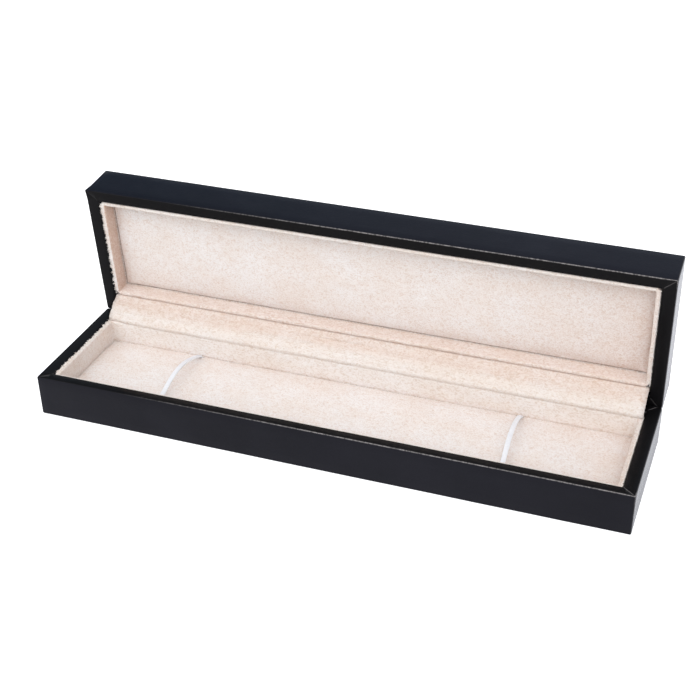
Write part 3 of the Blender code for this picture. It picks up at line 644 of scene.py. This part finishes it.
def under_seams(bm, seam_highlight_layer):
    """Mitre seams in the turned-under edge."""
    for side_x in (-1, 1):
        for side_y in (-1, 1):
            inner = Vector((side_x * (HALF_LENGTH - TURN_UNDER), side_y * (BACK_Y - TURN_UNDER), 0))
            outer = Vector((side_x * HALF_LENGTH, side_y * BACK_Y, 0))
            seam(bm, inner, outer, NEAR, -1, seam_highlight_layer, UNDER_SEAM_HIGHLIGHT)


def seam(bm, inner, outer, level, way, layer, seam_highlight):
    """Sink a seam from an inner to an outer corner, above (way 1) or below (way -1) a level, with a
    painted highlight along it.
    """
    run = (outer - inner).normalized()
    across = Vector((-run.y, run.x, 0))
    reach = (outer - inner).length

    def close(face):
        middle = face.calc_center_median()
        ahead = (middle - inner).dot(run)
        asides = [(vert.co - inner).dot(across) for vert in face.verts]
        beside = min(abs(aside) for aside in asides) < 2 * SEAM_WIDTH
        crossed = len({aside > 0 for aside in asides}) == 2
        within = -SEAM_START_MARGIN < ahead < reach + SEAM_END_MARGIN
        return (middle.z - level) * way > 0 and within and (beside or crossed)

    for offset in (-SEAM_WIDTH, SEAM_WIDTH, 0):
        slice_at(bm, inner + across * offset, across, [face for face in bm.faces if close(face)])
    bm.normal_update()
    for vert in bm.verts:
        ahead = (vert.co - inner).dot(run)
        on_line = abs((vert.co - inner).dot(across)) < NEAR
        if on_line and (vert.co.z - level) * way > -NEAR and -NEAR < ahead < reach:
            fade = min(1, (reach - ahead) / SEAM_FADE)
            vert.co -= vert.normal * SEAM_DEPTH * fade
            vert[layer] = fade * seam_highlight


def cells(bm, spacing):
    """Divide the sheet into cells, so that it can sway a little."""
    for axis, low, high in ((0, -HALF_LENGTH, HALF_LENGTH), (1, FRONT_Y, BACK_Y), (2, 0, HALF_HEIGHT)):
        count = round((high - low) / spacing)
        normal = Vector((0, 0, 0))
        normal[axis] = 1
        for index in range(1, count):
            point = normal * (low + (high - low) * index / count)
            slice_at(bm, point, normal)


def mark_wear_and_highlight(bm, layer):
    """Paleness on the rounded edges, partly wear and partly a painted highlight: most on the front edge
    of the rim, more of it towards the right.
    """
    for vert in bm.verts:
        flat = max(abs(part) for part in vert.normal)
        turned = min(1, max(0, (1 - flat) / TURNED_EDGE))
        edge = EDGE_ROUND * 1.2
        front = vert.co.y < FRONT_Y + edge and vert.co.z > HALF_HEIGHT - edge
        share = (vert.co.x + HALF_LENGTH) / BOX_LENGTH
        strength = min(1, max(0.0, (share - WEAR_AND_HIGHLIGHT_START) / WEAR_AND_HIGHLIGHT_RISE)) if front else LEAST_WEAR_AND_HIGHLIGHT
        vert[layer] = strength * turned ** 2


def leather_wrap(half):
    """One sheet of leather round a half: underside, walls, rim and the edge turned in."""
    bm = bmesh.new()
    block(bm, (-HALF_LENGTH, FRONT_Y, 0), (HALF_LENGTH, BACK_Y, HALF_HEIGHT))
    cut_back_bevel(bm)
    soften(bm, bm.edges[:], EDGE_ROUND, 4)
    open_mouth(bm, half)
    if half is BASE:
        open_underside(bm)
    open_hinge_windows(bm)
    bmesh.ops.recalc_face_normals(bm, faces=bm.faces[:])
    bm.normal_update()
    seam_highlight_layer = bm.verts.layers.float.new("seam")
    wear_and_highlight_layer = bm.verts.layers.float.new("worn")
    rim_seams(bm, half, seam_highlight_layer)
    if half is BASE:
        under_seams(bm, seam_highlight_layer)
    cells(bm, LEATHER_CELL)
    bm.normal_update()
    mark_wear_and_highlight(bm, wear_and_highlight_layer)
    for vert in bm.verts:
        sway = noise.noise(vert.co * LEATHER_SWAYS_PER_METRE + Vector((3, 7, len(half.name))))
        vert.co += vert.normal * LEATHER_SWAY * sway
    if half is LID:
        pull_corner(bm)
    # The up-facing rim faces take the second material, darkened by painted shade.
    for face in bm.faces:
        face.material_index = int(face.calc_center_median().z > HALF_HEIGHT - EDGE_ROUND * 0.3)
    wrap = add_piece(f"{half.name}_wrap", bm, half, LEATHER_LOOK)
    wrap.data.materials.append(SHADED_RIM_LOOK)
    wall = wrap.modifiers.new("leather_wall", "SOLIDIFY")
    wall.thickness = LEATHER
    wall.offset = -1
    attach(wrap, half.name)
    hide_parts(f"{half.name}_leather")


def pull_corner(bm):
    """The small tip where the leather is folded at the lid's front left corner."""
    corner = Vector((-HALF_LENGTH, FRONT_Y, HALF_HEIGHT))
    for vert in bm.verts:
        distance = (vert.co - corner).length
        vert.co += Vector(CORNER_PULL) * exp(-(distance / CORNER_REACH) ** 2)


# Linings

def round_loop(bm, low, high, height, front_round, back_round):
    """Level rectangle with rounded corners, as a loop of edges."""
    middle = (Vector((*low, height)) + Vector((*high, height))) / 2
    size = (Vector((*high, 0)) - Vector((*low, 0))) / 2
    made = bmesh.ops.create_grid(
        bm, x_segments=1, y_segments=1, size=1,
        matrix=Matrix.Translation(middle) @ Matrix.Diagonal((size.x, size.y, 1, 1)),
    )
    corners = [(vert, front_round if vert.co.y < middle.y else back_round) for vert in made["verts"]]
    before = set(bm.edges) - {edge for vert in made["verts"] for edge in vert.link_edges}
    for vert, radius in corners:
        round_corners(bm, [vert], radius, 8)
    edges = [edge for edge in bm.edges if edge not in before]
    faces = list({face for edge in edges for face in edge.link_faces})
    bmesh.ops.delete(bm, geom=faces, context="FACES_ONLY")
    return edges


def lining_band(half):
    """Suede-covered boards round the inside, with a soft top edge and round outer corners."""
    bm = bmesh.new()
    outer = round_loop(
        bm, (-LINING_X, half.lining_front), (LINING_X, LINING_BACK), LINING_FOOT,
        half.front_round, half.back_round,
    )
    face_x = LINING_X - LINING
    inner = round_loop(
        bm, (-face_x, half.lining_face), (face_x, LINING_BACK - LINING), LINING_FOOT,
        LINING_INNER_ROUND, LINING_INNER_ROUND,
    )
    ring = bmesh.ops.bridge_loops(bm, edges=outer + inner)
    raised = bmesh.ops.extrude_face_region(bm, geom=ring["faces"])
    tops = kept(raised, bmesh.types.BMVert)
    bmesh.ops.translate(bm, vec=(0, 0, LINING_TOP - LINING_FOOT), verts=tops)
    bmesh.ops.recalc_face_normals(bm, faces=bm.faces[:])
    rims = [
        edge for edge in bm.edges
        if all(vert.co.z > LINING_TOP - NEAR for vert in edge.verts)
        and len({face.normal.z > 0.5 for face in edge.link_faces}) == 2
    ]
    soften(bm, rims, min(LINING_ROUND, (half.lining_face - half.lining_front) * 0.4), 3)
    for x in LINING_SLICES_X:
        slice_at(bm, (x / 1000, 0, 0), (1, 0, 0))
    for y in LINING_SLICES_Y:
        slice_at(bm, (0, y / 1000, 0), (0, 1, 0))
    for height in (LINING_TOP - 0.0016, LINING_TOP - 0.0040, half.pad_top + 0.0009, half.pad_top):
        slice_at(bm, (0, 0, height), (0, 0, 1))
    bm.normal_update()
    # Painted shade: a redder, darker colour beside the pad and on the walls in shade, held in a vertex
    # layer.
    crease = bm.verts.layers.float.new("crease")
    for vert in bm.verts:
        lump = noise.noise(vert.co * 260) * 0.6 + noise.noise(vert.co * 900) * 0.7
        above = min(1, max(0, (vert.co.z - half.pad_top - 0.0001) / 0.0016))
        vert.co += vert.normal * LINING_SWAY * lump * above
        vert[crease] = lining_painted_shade(half, vert.co, vert.normal)
    band = add_piece(f"{half.name}_lining_band", bm, half, BRUSHED_LOOK, 60)
    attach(band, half.name)
    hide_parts(*(f"{half.name}_{side}_lining" for side in ("front", "back", "left", "right")))


def lining_painted_shade(half, spot, normal):
    """How much shade is painted on the lining at a place, as a redder colour: most beside the pad, and
    on the walls that lie in shade.
    """
    marks = [half.crease * exp(-max(0.0, spot.z - half.pad_top) / CREASE_SHADE_HEIGHT)]
    left = spot.x < -LINING_X + LINING_WALL
    right = spot.x > LINING_X - LINING_WALL
    if half is BASE:
        marks.append(BASE_LEFT_WALL_SHADE * left)
        marks.append(BASE_RIGHT_EDGE_SHADE * (right and spot.z > LINING_TOP - 0.0017))
    else:
        outside = spot.y > LINING_BACK - 0.0005 and normal.y > 0.2
        back = spot.y > LINING_BACK - LINING_WALL and normal.y < 0.2
        marks.append(LID_LEFT_WALL_SHADE * (outside or left and normal.x > 0.5))
        marks.append(LID_BACK_WALL_SHADE * back)
        marks.append(LID_RIGHT_WALL_SHADE * right)
    return max(marks)


def nap(name, half, low, high, lean, strengths, seed, inset=0.0):
    """Short pile along the front, right, back and left edges between two upper corners."""
    chance = random.Random(seed)
    bm = bmesh.new()
    spots = (low[0], low[1]), (high[0], low[1]), (high[0], high[1]), (low[0], high[1])
    corners = [Vector((*spot, high[2])) for spot in spots]
    for start, end, strength in zip(corners, corners[1:] + corners[:1], strengths):
        run = (end - start).normalized()
        out = Vector((run.y, -run.x, 0))
        way = out * lean[0] + Vector((0, 0, lean[1]))
        tufts(bm, chance, start + run * inset, end - run * inset, way, strength)
    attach(add_piece(name, bm, half, NAP_LOOK, 80), half.name)


def lining_nap(half):
    """Pile that stands over the outer top edge of the lining."""
    low, high = (-LINING_X, half.lining_front), (LINING_X, LINING_BACK, LINING_TOP)
    nap(
        f"{half.name}_lining_nap", half, low, high, lean=(0.75, 0.62), seed=len(half.name),
        strengths=(0.30, 0.55, 0.0, 1.0), inset=half.front_round * 0.6,
    )


def tufts(bm, chance, start, end, lean, strength):
    """Uneven tufts along an edge, leaning out over it."""
    length = (end - start).length if strength else 0
    run = (end - start).normalized()
    at = 0.0
    while at < length:
        reach = (0.15 + 0.85 * chance.random() ** 1.7) * strength
        add_tuft(bm, chance, start + run * at, run, lean + run * chance.uniform(-0.5, 0.5), reach)
        at += chance.uniform(0.00020, 0.00085)


def add_tuft(bm, chance, spot, run, lean, reach):
    """A few fibres that lean much the same way, made on their own and then added."""
    fibres = bmesh.new()
    back = Vector((lean.x, lean.y, 0)).normalized()
    for _ in range(FIBRES):
        way = (lean + run * chance.uniform(-0.5, 0.5)).normalized()
        root = spot + run * chance.uniform(-0.00030, 0.00030) - back * chance.uniform(0.00005, 0.00045)
        root.z -= chance.uniform(0.00005, 0.00020)
        length = chance.uniform(0.0006, 0.0013) * reach + 0.00012
        length = min(length, (NAP_TOP - root.z) / max(way.z, 0.1))
        turn = way.to_track_quat("Z", "Y").to_matrix().to_4x4()
        bmesh.ops.create_cone(
            fibres, cap_ends=True, cap_tris=True, segments=3, radius1=0.00009, radius2=0.00003,
            depth=length, matrix=Matrix.Translation(root + way * length * 0.4) @ turn,
        )
    tuft = bpy.data.meshes.new("tuft")
    fibres.to_mesh(tuft)
    fibres.free()
    bm.from_mesh(tuft)
    bpy.data.meshes.remove(tuft)


def cushion_nap(name, half, low, high, strengths):
    """Pile that bridges the line between a pad and the lining round it."""
    nap(name, half, low, high, lean=(0.7, 0.7), strengths=strengths, seed=len(name))


# Cushions

def notch_edges(bm, notches):
    """Draw the edges of the pad in where the straps pass."""
    for x, edge, way in notches:
        for vert in bm.verts:
            if abs(vert.co.x - x) < NOTCH_HALF_WIDTH and abs(vert.co.y - edge) < NOTCH_REACH:
                vert.co.y += way * NOTCH_DEPTH


def cushion(name, half, low, high, crown, replaced, notches=()):
    """Suede over thin foam on a card: flat below, swelling above, with rounded edges."""
    bm = bmesh.new()
    block(bm, low, high)
    columns = int(high[0] / CUSHION_STEP)
    for index in range(-columns, columns + 1):
        slice_at(bm, (index * CUSHION_STEP, 0, 0), (1, 0, 0))
    for corner, inset in ((low, CUSHION_EDGE), (high, -CUSHION_EDGE)):
        slice_at(bm, (corner[0] + inset, 0, 0), (1, 0, 0))
        slice_at(bm, (0, corner[1] + inset, 0), (0, 1, 0))
    for notch_x, _, _ in notches:
        for offset in NOTCH_SLICES:
            slice_at(bm, (notch_x + offset, 0, 0), (1, 0, 0))
    for index in range(1, CUSHION_ROWS):
        slice_at(bm, (0, low[1] + (high[1] - low[1]) * index / CUSHION_ROWS, 0), (0, 1, 0))
    upper = [
        edge for edge in bm.edges
        if all(vert.co.z > high[2] - NEAR for vert in edge.verts)
        and len({face.normal.z > 0.5 for face in edge.link_faces}) == 2
    ]
    bm.normal_update()
    soften(bm, upper, CUSHION_ROUND, 3)
    notch_edges(bm, notches)
    bm.verts.index_update()
    glued = [vert.index for vert in bm.verts if vert.co.z < low[2] + NEAR]
    mesh = bpy.data.meshes.new(name)
    bm.to_mesh(mesh)
    bm.free()
    thing = add_object(name, mesh)
    puff(thing, glued, crown)
    unlevel_top(mesh, low, high)
    keep_clear(mesh, low, high)
    # Painted shade towards the pad's right end, stronger in the lid.
    end_shade = LID_PAD_END_SHADE if half is LID else BASE_PAD_END_SHADE
    paint_pad_shade(mesh, low, high, half.crease, end_shade)
    if half is LID:
        mesh.transform(half.place)
        mesh.flip_normals()
    mesh.materials.append(SUEDE_LOOK)
    mesh.shade_smooth()
    smooth = thing.modifiers.new("soft_skin", "SUBSURF")
    smooth.levels = smooth.render_levels = 1
    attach(thing, half.name)
    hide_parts(replaced)


def puff(thing, glued, limit):
    """Swell a closed skin with a cloth run, no further than a limit, and keep the result."""
    group = thing.vertex_groups.new(name="glued")
    group.add(glued, 1.0, "REPLACE")
    before = [vert.co.copy() for vert in thing.data.vertices]
    cloth = thing.modifiers.new("puff", "CLOTH")
    cloth.point_cache.frame_start = 1
    cloth.point_cache.frame_end = CLOTH_STEPS
    cloth.settings.use_pressure = True
    cloth.settings.uniform_pressure_force = 4
    cloth.settings.vertex_group_mass = "glued"
    cloth.settings.effector_weights.gravity = 0
    scene = bpy.context.scene
    for step in range(1, CLOTH_STEPS + 1):
        scene.frame_set(step)
    swollen = thing.evaluated_get(bpy.context.evaluated_depsgraph_get())
    after = [vert.co.copy() for vert in swollen.data.vertices]
    thing.modifiers.remove(cloth)
    scene.frame_set(1)
    thing.vertex_groups.clear()
    for vert, start, end in zip(thing.data.vertices, before, after):
        move = end - start
        if move.length > limit:
            move *= limit / move.length
        vert.co = start + move


def unlevel_top(mesh, low, high):
    """Small unevenness of hand-laid suede over foam."""
    for vert in mesh.vertices:
        if vert.co.z > (low[2] + high[2]) / 2:
            lump = noise.noise(Vector((vert.co.x * 60, vert.co.y * 90, 1.5)))
            vert.co.z += lump * CUSHION_BUMPS


def keep_clear(mesh, low, high):
    """Hold the swollen pad just inside the linings round it."""
    for vert in mesh.vertices:
        vert.co.x = min(high[0], max(low[0], vert.co.x))
        vert.co.y = min(high[1], max(low[1], vert.co.y))


def paint_pad_shade(mesh, low, high, strength, right_end):
    """Paint shade on a pad as a redder, darker colour: at its sides, more softly near its edges, and
    towards its back and right end.
    """
    crease = mesh.attributes.new("crease", "FLOAT", "POINT")
    for vert, mark in zip(mesh.vertices, crease.data):
        x, y, _ = vert.co
        inset = min(x - low[0], high[0] - x, y - low[1], high[1] - y)
        cloud = 0.5 + noise.noise(vert.co * 120 + Vector((5, 0, 0)))
        back_and_end_shade = PAD_BACK_SHADE * exp(-(high[1] - y) / 0.010) + right_end * max(0, x / high[0]) ** 3
        clouded = PAD_CLOUD_SHADE * cloud * exp(-inset / 0.0045) + back_and_end_shade
        mark.value = max(strength * PAD_EDGE_SHARE * exp(-max(0, inset) / 0.0004), clouded)


# Straps

def strap_line(steps=44):
    """Middle line of a strap from front to back, as pairs of y and height."""
    front = BASE.lining_face + STRAP_FRONT_GAP
    back = LINING_BACK - LINING - STRAP_BACK_GAP
    line = [(front + inset, height) for inset, height in STRAP_TUCK]
    for step in range(1, steps):
        share = step / steps
        rise = STRAP_RISE * sin(pi * share ** 1.25)
        line.append((front + (back - front) * share, STRAP_FOOT + rise))
    line += [(back - inset, height) for inset, height in reversed(STRAP_TUCK)]
    return front, back, line


def strap_stations(x, lean, bow):
    """Places and turns of a strap's section along it, leaning and bowed sideways by these lengths."""
    front, back, line = strap_line()
    points = []
    for y, height in line:
        share = (2 * y - front - back) / (back - front)
        points.append(Vector((x + lean * share + bow * share ** 2, y, height)))
    stations = []
    for index, point in enumerate(points):
        before, after = points[max(index - 1, 0)], points[min(index + 1, len(points) - 1)]
        ahead = (after - before).normalized()
        side = (Vector((1, 0, 0)) - ahead * ahead.x).normalized()
        turn = Matrix((side, ahead, ahead.cross(side))).transposed().to_4x4()
        stations.append(Matrix.Translation(point) @ turn)
    return stations


def elastic_strap(side, x, lean, bow):
    """Flat elastic drawn out through its stations, with rounded edges."""
    stations = strap_stations(x, lean, bow)
    bm = bmesh.new()
    along_layer = bm.verts.layers.float.new("along")
    across_layer = bm.verts.layers.float.new("across")
    size = Matrix.Diagonal((STRAP_WIDTH / 2, STRAP_THICKNESS / 2, 1, 1))
    upright = stations[0] @ Matrix.Rotation(-pi / 2, 4, "X") @ size
    made = bmesh.ops.create_grid(bm, x_segments=1, y_segments=1, size=1, matrix=upright)
    round_corners(bm, made["verts"], STRAP_ROUND, 3)
    edges = bm.edges[:]
    inverse = stations[0].inverted()
    for vert in bm.verts:
        vert[across_layer] = (inverse @ vert.co).x
    length = 0.0
    for before, after in zip(stations, stations[1:]):
        length += (after.translation - before.translation).length
        drawn = bmesh.ops.extrude_edge_only(bm, edges=edges)
        verts = kept(drawn, bmesh.types.BMVert)
        edges = kept(drawn, bmesh.types.BMEdge)
        edges = [edge for edge in edges if all(vert in verts for vert in edge.verts)]
        bmesh.ops.transform(bm, matrix=after @ before.inverted(), verts=verts)
        for vert in verts:
            vert[along_layer] = length
    bmesh.ops.edgeloop_fill(bm, edges=edges)
    bmesh.ops.recalc_face_normals(bm, faces=bm.faces[:])
    strap = add_piece(f"elastic_{side}", bm, BASE, ELASTIC_LOOK, 70)
    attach(strap, "base")
    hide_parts(f"strap_{side}")


# Hinge flap

def rounded(corners, setback, steps):
    """Round the inner corners of an open line."""
    corners = [Vector(corner) for corner in corners]
    path = [corners[0]]
    for before, corner, after in zip(corners, corners[1:], corners[2:]):
        start = corner + (before - corner).normalized() * setback
        end = corner + (after - corner).normalized() * setback
        for step in range(steps + 1):
            share = step / steps
            path.append(start.lerp(corner, share).lerp(corner.lerp(end, share), share))
    path.append(corners[-1])
    return path


def lid_spot(y, height):
    """Where a point of the lid's half frame lies, as y and z."""
    spot = LID_PLACE @ Vector((0, y, height))
    return spot.y, spot.z


def flap_line(share):
    """Line of the flap from behind one back lining to behind the other, at a place from -1 to 1."""
    behind = LINING_BACK + 0.00006 + FLAP_THICKNESS / 2
    over = LINING_TOP + FLAP_THICKNESS / 2 + 0.00008
    drawn = max(0, 1 - (1 + share) / FLAP_DRAWN_END)
    nose = LINING_BACK - LINING + 0.00012 + FLAP_DRAWN_BACK * drawn * drawn * (3 - 2 * drawn)
    foot = Vector((nose, over + 0.0011))
    top = Vector(lid_spot(behind, LINING_TOP))
    climb = top - foot
    out = Vector((-climb.y, climb.x)).normalized()
    wave = -FLAP_WAVE * cos(3 * pi * share)
    folds = []
    for step in range(1, FLAP_STEPS):
        part = step / FLAP_STEPS
        swing = sin(pi * part)
        fold = FLAP_FOLD * sin(2 * pi * (2.1 * part + 0.25 * sin(4 * share + 1))) * swing
        fold += FLAP_CRINKLE * sin(2 * pi * (5.3 * part + 0.6 * sin(3 * share))) * swing
        folds.append(foot + climb * part + out * (wave * swing + fold))
    tucked = LINING_TOP - FLAP_TUCK
    lower = rounded([(behind, tucked), (behind, over), (nose, over - 0.00012), foot], 0.00040, 5)
    upper = rounded([folds[-1], top, lid_spot(behind, tucked)], 0.00025, 4)
    return lower + folds[:-1] + upper


def point_on(path, share):
    """Point at a share of a line's length."""
    lengths = [(after - before).length for before, after in zip(path, path[1:])]
    left = share * sum(lengths)
    for before, after, length in zip(path, path[1:], lengths):
        if left <= length:
            return before.lerp(after, left / length)
        left -= length
    return path[-1]


def fold_lines(along, part):
    """How deep a place on the flap lies in one of its fine level creases, from 0 to 1."""
    depth = 0.0
    for middle, sway, strength in FLAP_LINES:
        line = middle + sway * sin(2.3 * along + 9 * middle)
        fade = 0.55 + 0.45 * sin(5 * along + 20 * middle)
        depth = max(depth, strength * fade * exp(-((part - line) / 0.012) ** 2))
    return depth


def hinge_cover():
    """Strip of suede from one back lining to the other, in soft level folds."""
    bm = bmesh.new()
    bmesh.ops.create_grid(bm, x_segments=110, y_segments=130, size=1)
    crease = bm.verts.layers.float.new("crease")
    span = HALF_LENGTH - SIDE_RIM - FLAP_END_GAP
    lid_edge = lid_spot(LINING_BACK, LINING_TOP)[1]
    lines = {}
    for vert in bm.verts:
        along = round(vert.co.x, 5)
        if along not in lines:
            lines[along] = flap_line(along)
        part = (vert.co.y + 1) / 2
        place = point_on(lines[along], part)
        depth = fold_lines(along, part)
        dip = FLAP_CREASE_DEPTH * depth
        vert.co = (vert.co.x * span, place.x + dip, place.y - dip * 0.4)
        # Painted shade, as a redder colour: where the flap meets the linings, in its fine folds and
        # over its upper part.
        edge = min(place.y - LINING_TOP - 0.0003, (lid_edge - place.y) * 1.5)
        hem = FLAP_HEM_SHADE[part >= 0.5] * exp(-max(0.0, edge) / CREASE_SHADE_HEIGHT)
        upper = FLAP_UPPER_SHADE * min(1, max(0, part - 0.45) / 0.2)
        vert[crease] = max(hem, FLAP_FOLD_SHADE * depth, upper)
    bmesh.ops.recalc_face_normals(bm, faces=bm.faces[:])
    flap = add_piece("hinge_cover", bm, BASE, SHADED_FLAP_LOOK, 80)
    wall = flap.modifiers.new("suede_thickness", "SOLIDIFY")
    wall.thickness = FLAP_THICKNESS
    wall.offset = 0
    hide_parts("hinge_flap")
    flap_length()
    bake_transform(flap)


def flap_length():
    """Length of the flap's line at a place clear of its drawn-back end."""
    line = flap_line(0.3)
    return sum((after - before).length for before, after in zip(line, line[1:]))


# Stage, light and camera

def floor():
    """Plain white floor with a faint shadow; mirrored in the box, it has a painted contact shadow close
    by the ends.
    """
    mesh = bpy.data.meshes.new("floor")
    bm = bmesh.new()
    bmesh.ops.create_grid(bm, x_segments=1, y_segments=1, size=3)
    bm.to_mesh(mesh)
    bm.free()
    material = bpy.data.materials.new("white_floor")
    material.use_nodes = True
    tree = material.node_tree
    shader = tree.nodes["Principled BSDF"]
    shader.inputs["Base Color"].default_value = (0.90, 0.90, 0.90, 1)
    shader.inputs["Roughness"].default_value = 0.9
    shader.inputs["Specular IOR Level"].default_value = 0.0
    path = add_node(tree, "LightPath")
    seen = reckon(tree, "MULTIPLY", path.outputs["Is Camera Ray"], 0.72)
    tree.links.new(seen, shader.inputs["Emission Strength"])
    shader.inputs["Emission Color"].default_value = (0.96, 0.975, 1, 1)
    # Painted contact shadow: in reflections the floor is darker beside and under the box's ends.
    place = add_node(tree, "SeparateXYZ", {"Vector": place_of(tree)})
    dark, bright = FLOOR_MIRRORED_IN_PAINTED_SHADOW, FLOOR_MIRRORED
    aside = reckon(tree, "ABSOLUTE", place.outputs["X"])
    aside = spread(tree, aside, HALF_LENGTH + 0.0005, HALF_LENGTH + 0.0065, dark, bright)
    ahead = spread(tree, place.outputs["Y"], FRONT_Y - 0.002, FRONT_Y, bright, dark)
    plain = add_node(tree, "Emission", {
        "Color": (0.93, 0.94, 1.0, 1), "Strength": reckon(tree, "MAXIMUM", aside, ahead),
    })
    mirrored = reckon(tree, "ADD", path.outputs["Is Glossy Ray"], path.outputs["Is Transmission Ray"])
    surface = add_node(tree, "MixShader", {
        0: mirrored, 1: shader.outputs["BSDF"], 2: plain.outputs["Emission"],
    })
    tree.links.new(surface.outputs["Shader"], tree.nodes["Material Output"].inputs["Surface"])
    mesh.materials.append(material)
    thing = add_object("floor", mesh)
    thing.location.z = -0.0001


def world():
    """White room, softer as light; a mirrored ceiling is blue-grey and darker to the left."""
    room = bpy.data.worlds.new("white_room")
    room.use_nodes = True
    tree = room.node_tree
    background = tree.nodes["Background"]
    path = add_node(tree, "LightPath")
    way = add_node(tree, "SeparateXYZ", {"Vector": add_node(tree, "TexCoord").outputs["Generated"]})
    overhead = spread(tree, way.outputs["Z"], 0.20, 0.45, 0, 1)
    mirrored = reckon(tree, "MULTIPLY", overhead, path.outputs["Is Glossy Ray"])
    ceiling = ramp(
        tree, spread(tree, way.outputs["X"], -0.50, -0.05, 0, 1),
        (0.0, (0.06, 0.15, 0.25)), (0.55, (0.42, 0.50, 0.64)), (1.0, (0.52, 0.60, 0.76)),
    )
    colour = mix_colour(tree, mirrored, (1, 1, 1, 1), ceiling)
    tree.links.new(colour, background.inputs["Color"])
    seen = reckon(tree, "ADD", path.outputs["Is Camera Ray"], path.outputs["Is Glossy Ray"])
    seen = reckon(tree, "ADD", seen, path.outputs["Is Transmission Ray"])
    strength = reckon(tree, "ADD", reckon(tree, "MULTIPLY", seen, 0.58), 0.42)
    tree.links.new(strength, background.inputs["Strength"])
    bpy.context.scene.world = room


def soft_light(name, place, size, power):
    """Square lamp aimed at the box."""
    lamp = bpy.data.lights.new(name, "AREA")
    lamp.shape = "SQUARE"
    lamp.size = size
    lamp.energy = power
    thing = add_object(name, lamp)
    thing.location = place
    aim = Vector((0, 0, 0.02)) - Vector(place)
    thing.rotation_euler = aim.to_track_quat("-Z", "Y").to_euler()


def camera():
    """The view of the photograph, from the front, above and a little to the right."""
    lens = bpy.data.cameras.new("camera")
    lens.sensor_width = 36
    lens.lens = 68.286
    lens.shift_x = -0.02525
    lens.shift_y = 0.04399
    lens.clip_start = 0.01
    lens.clip_end = 20
    thing = add_object("camera", lens)
    thing.matrix_world = Matrix((
        (0.9431486742, -0.1754972152, 0.2822610596, 0.155384),
        (0.3322886786, 0.5167904645, -0.7889942014, -0.406365),
        (-0.0074035389, 0.8379309895, 0.5457259792, 0.305352),
        (0, 0, 0, 1),
    ))
    bpy.context.scene.camera = thing


# Putting it together

def dress_solids():
    """Give the solids that stay their own materials."""
    slots = {entry["node"]: entry["material_slot"] for entry in frame["record"]["subparts"]}
    for name, thing in frame["nodes"].items():
        look = CAD_LOOKS.get(slots[name])
        if look:
            for material_slot in thing.material_slots:
                material_slot.material = look


def main():
    camera()
    bpy.context.scene.view_settings.view_transform = "Standard"
    world()
    floor()
    soft_light("left_lamp", (-0.62, -0.87, 1.08), size=1.6, power=13.7)
    soft_light("right_lamp", (0.62, -0.87, 1.08), size=1.3, power=11)
    dress_solids()
    for half in (BASE, LID):
        leather_wrap(half)
        lining_band(half)
        lining_nap(half)
    front, back = -0.0247, 0.01825
    notches = (
        (LEFT_STRAP_X + 0.0011, front, 1), (LEFT_STRAP_X + 0.0011, back, -1),
        (RIGHT_STRAP_X + 0.0015, front, 1), (RIGHT_STRAP_X - 0.0007, back, -1),
    )
    corners = (-0.11260, -0.02495, 0.0073), (0.11260, 0.01850, BASE.pad_top)
    cushion("insert_cushion", BASE, *corners, 0.0005, "insert_pad", notches)
    cushion_nap("insert_nap", BASE, *corners, (0.10, 0.10, 0.20, 0.15))
    corners = (-0.11260, -0.02362, 0.0078), (0.11260, 0.01850, LID.pad_top)
    cushion("ceiling_cushion", LID, *corners, 0.0006, "ceiling_pad")
    cushion_nap("ceiling_nap", LID, *corners, (0.10, 0.10, 0.20, 0.20))
    elastic_strap("left", LEFT_STRAP_X, lean=0.0, bow=0.0011)
    elastic_strap("right", RIGHT_STRAP_X, lean=-0.0011, bow=0.0004)
    hinge_cover()


main()
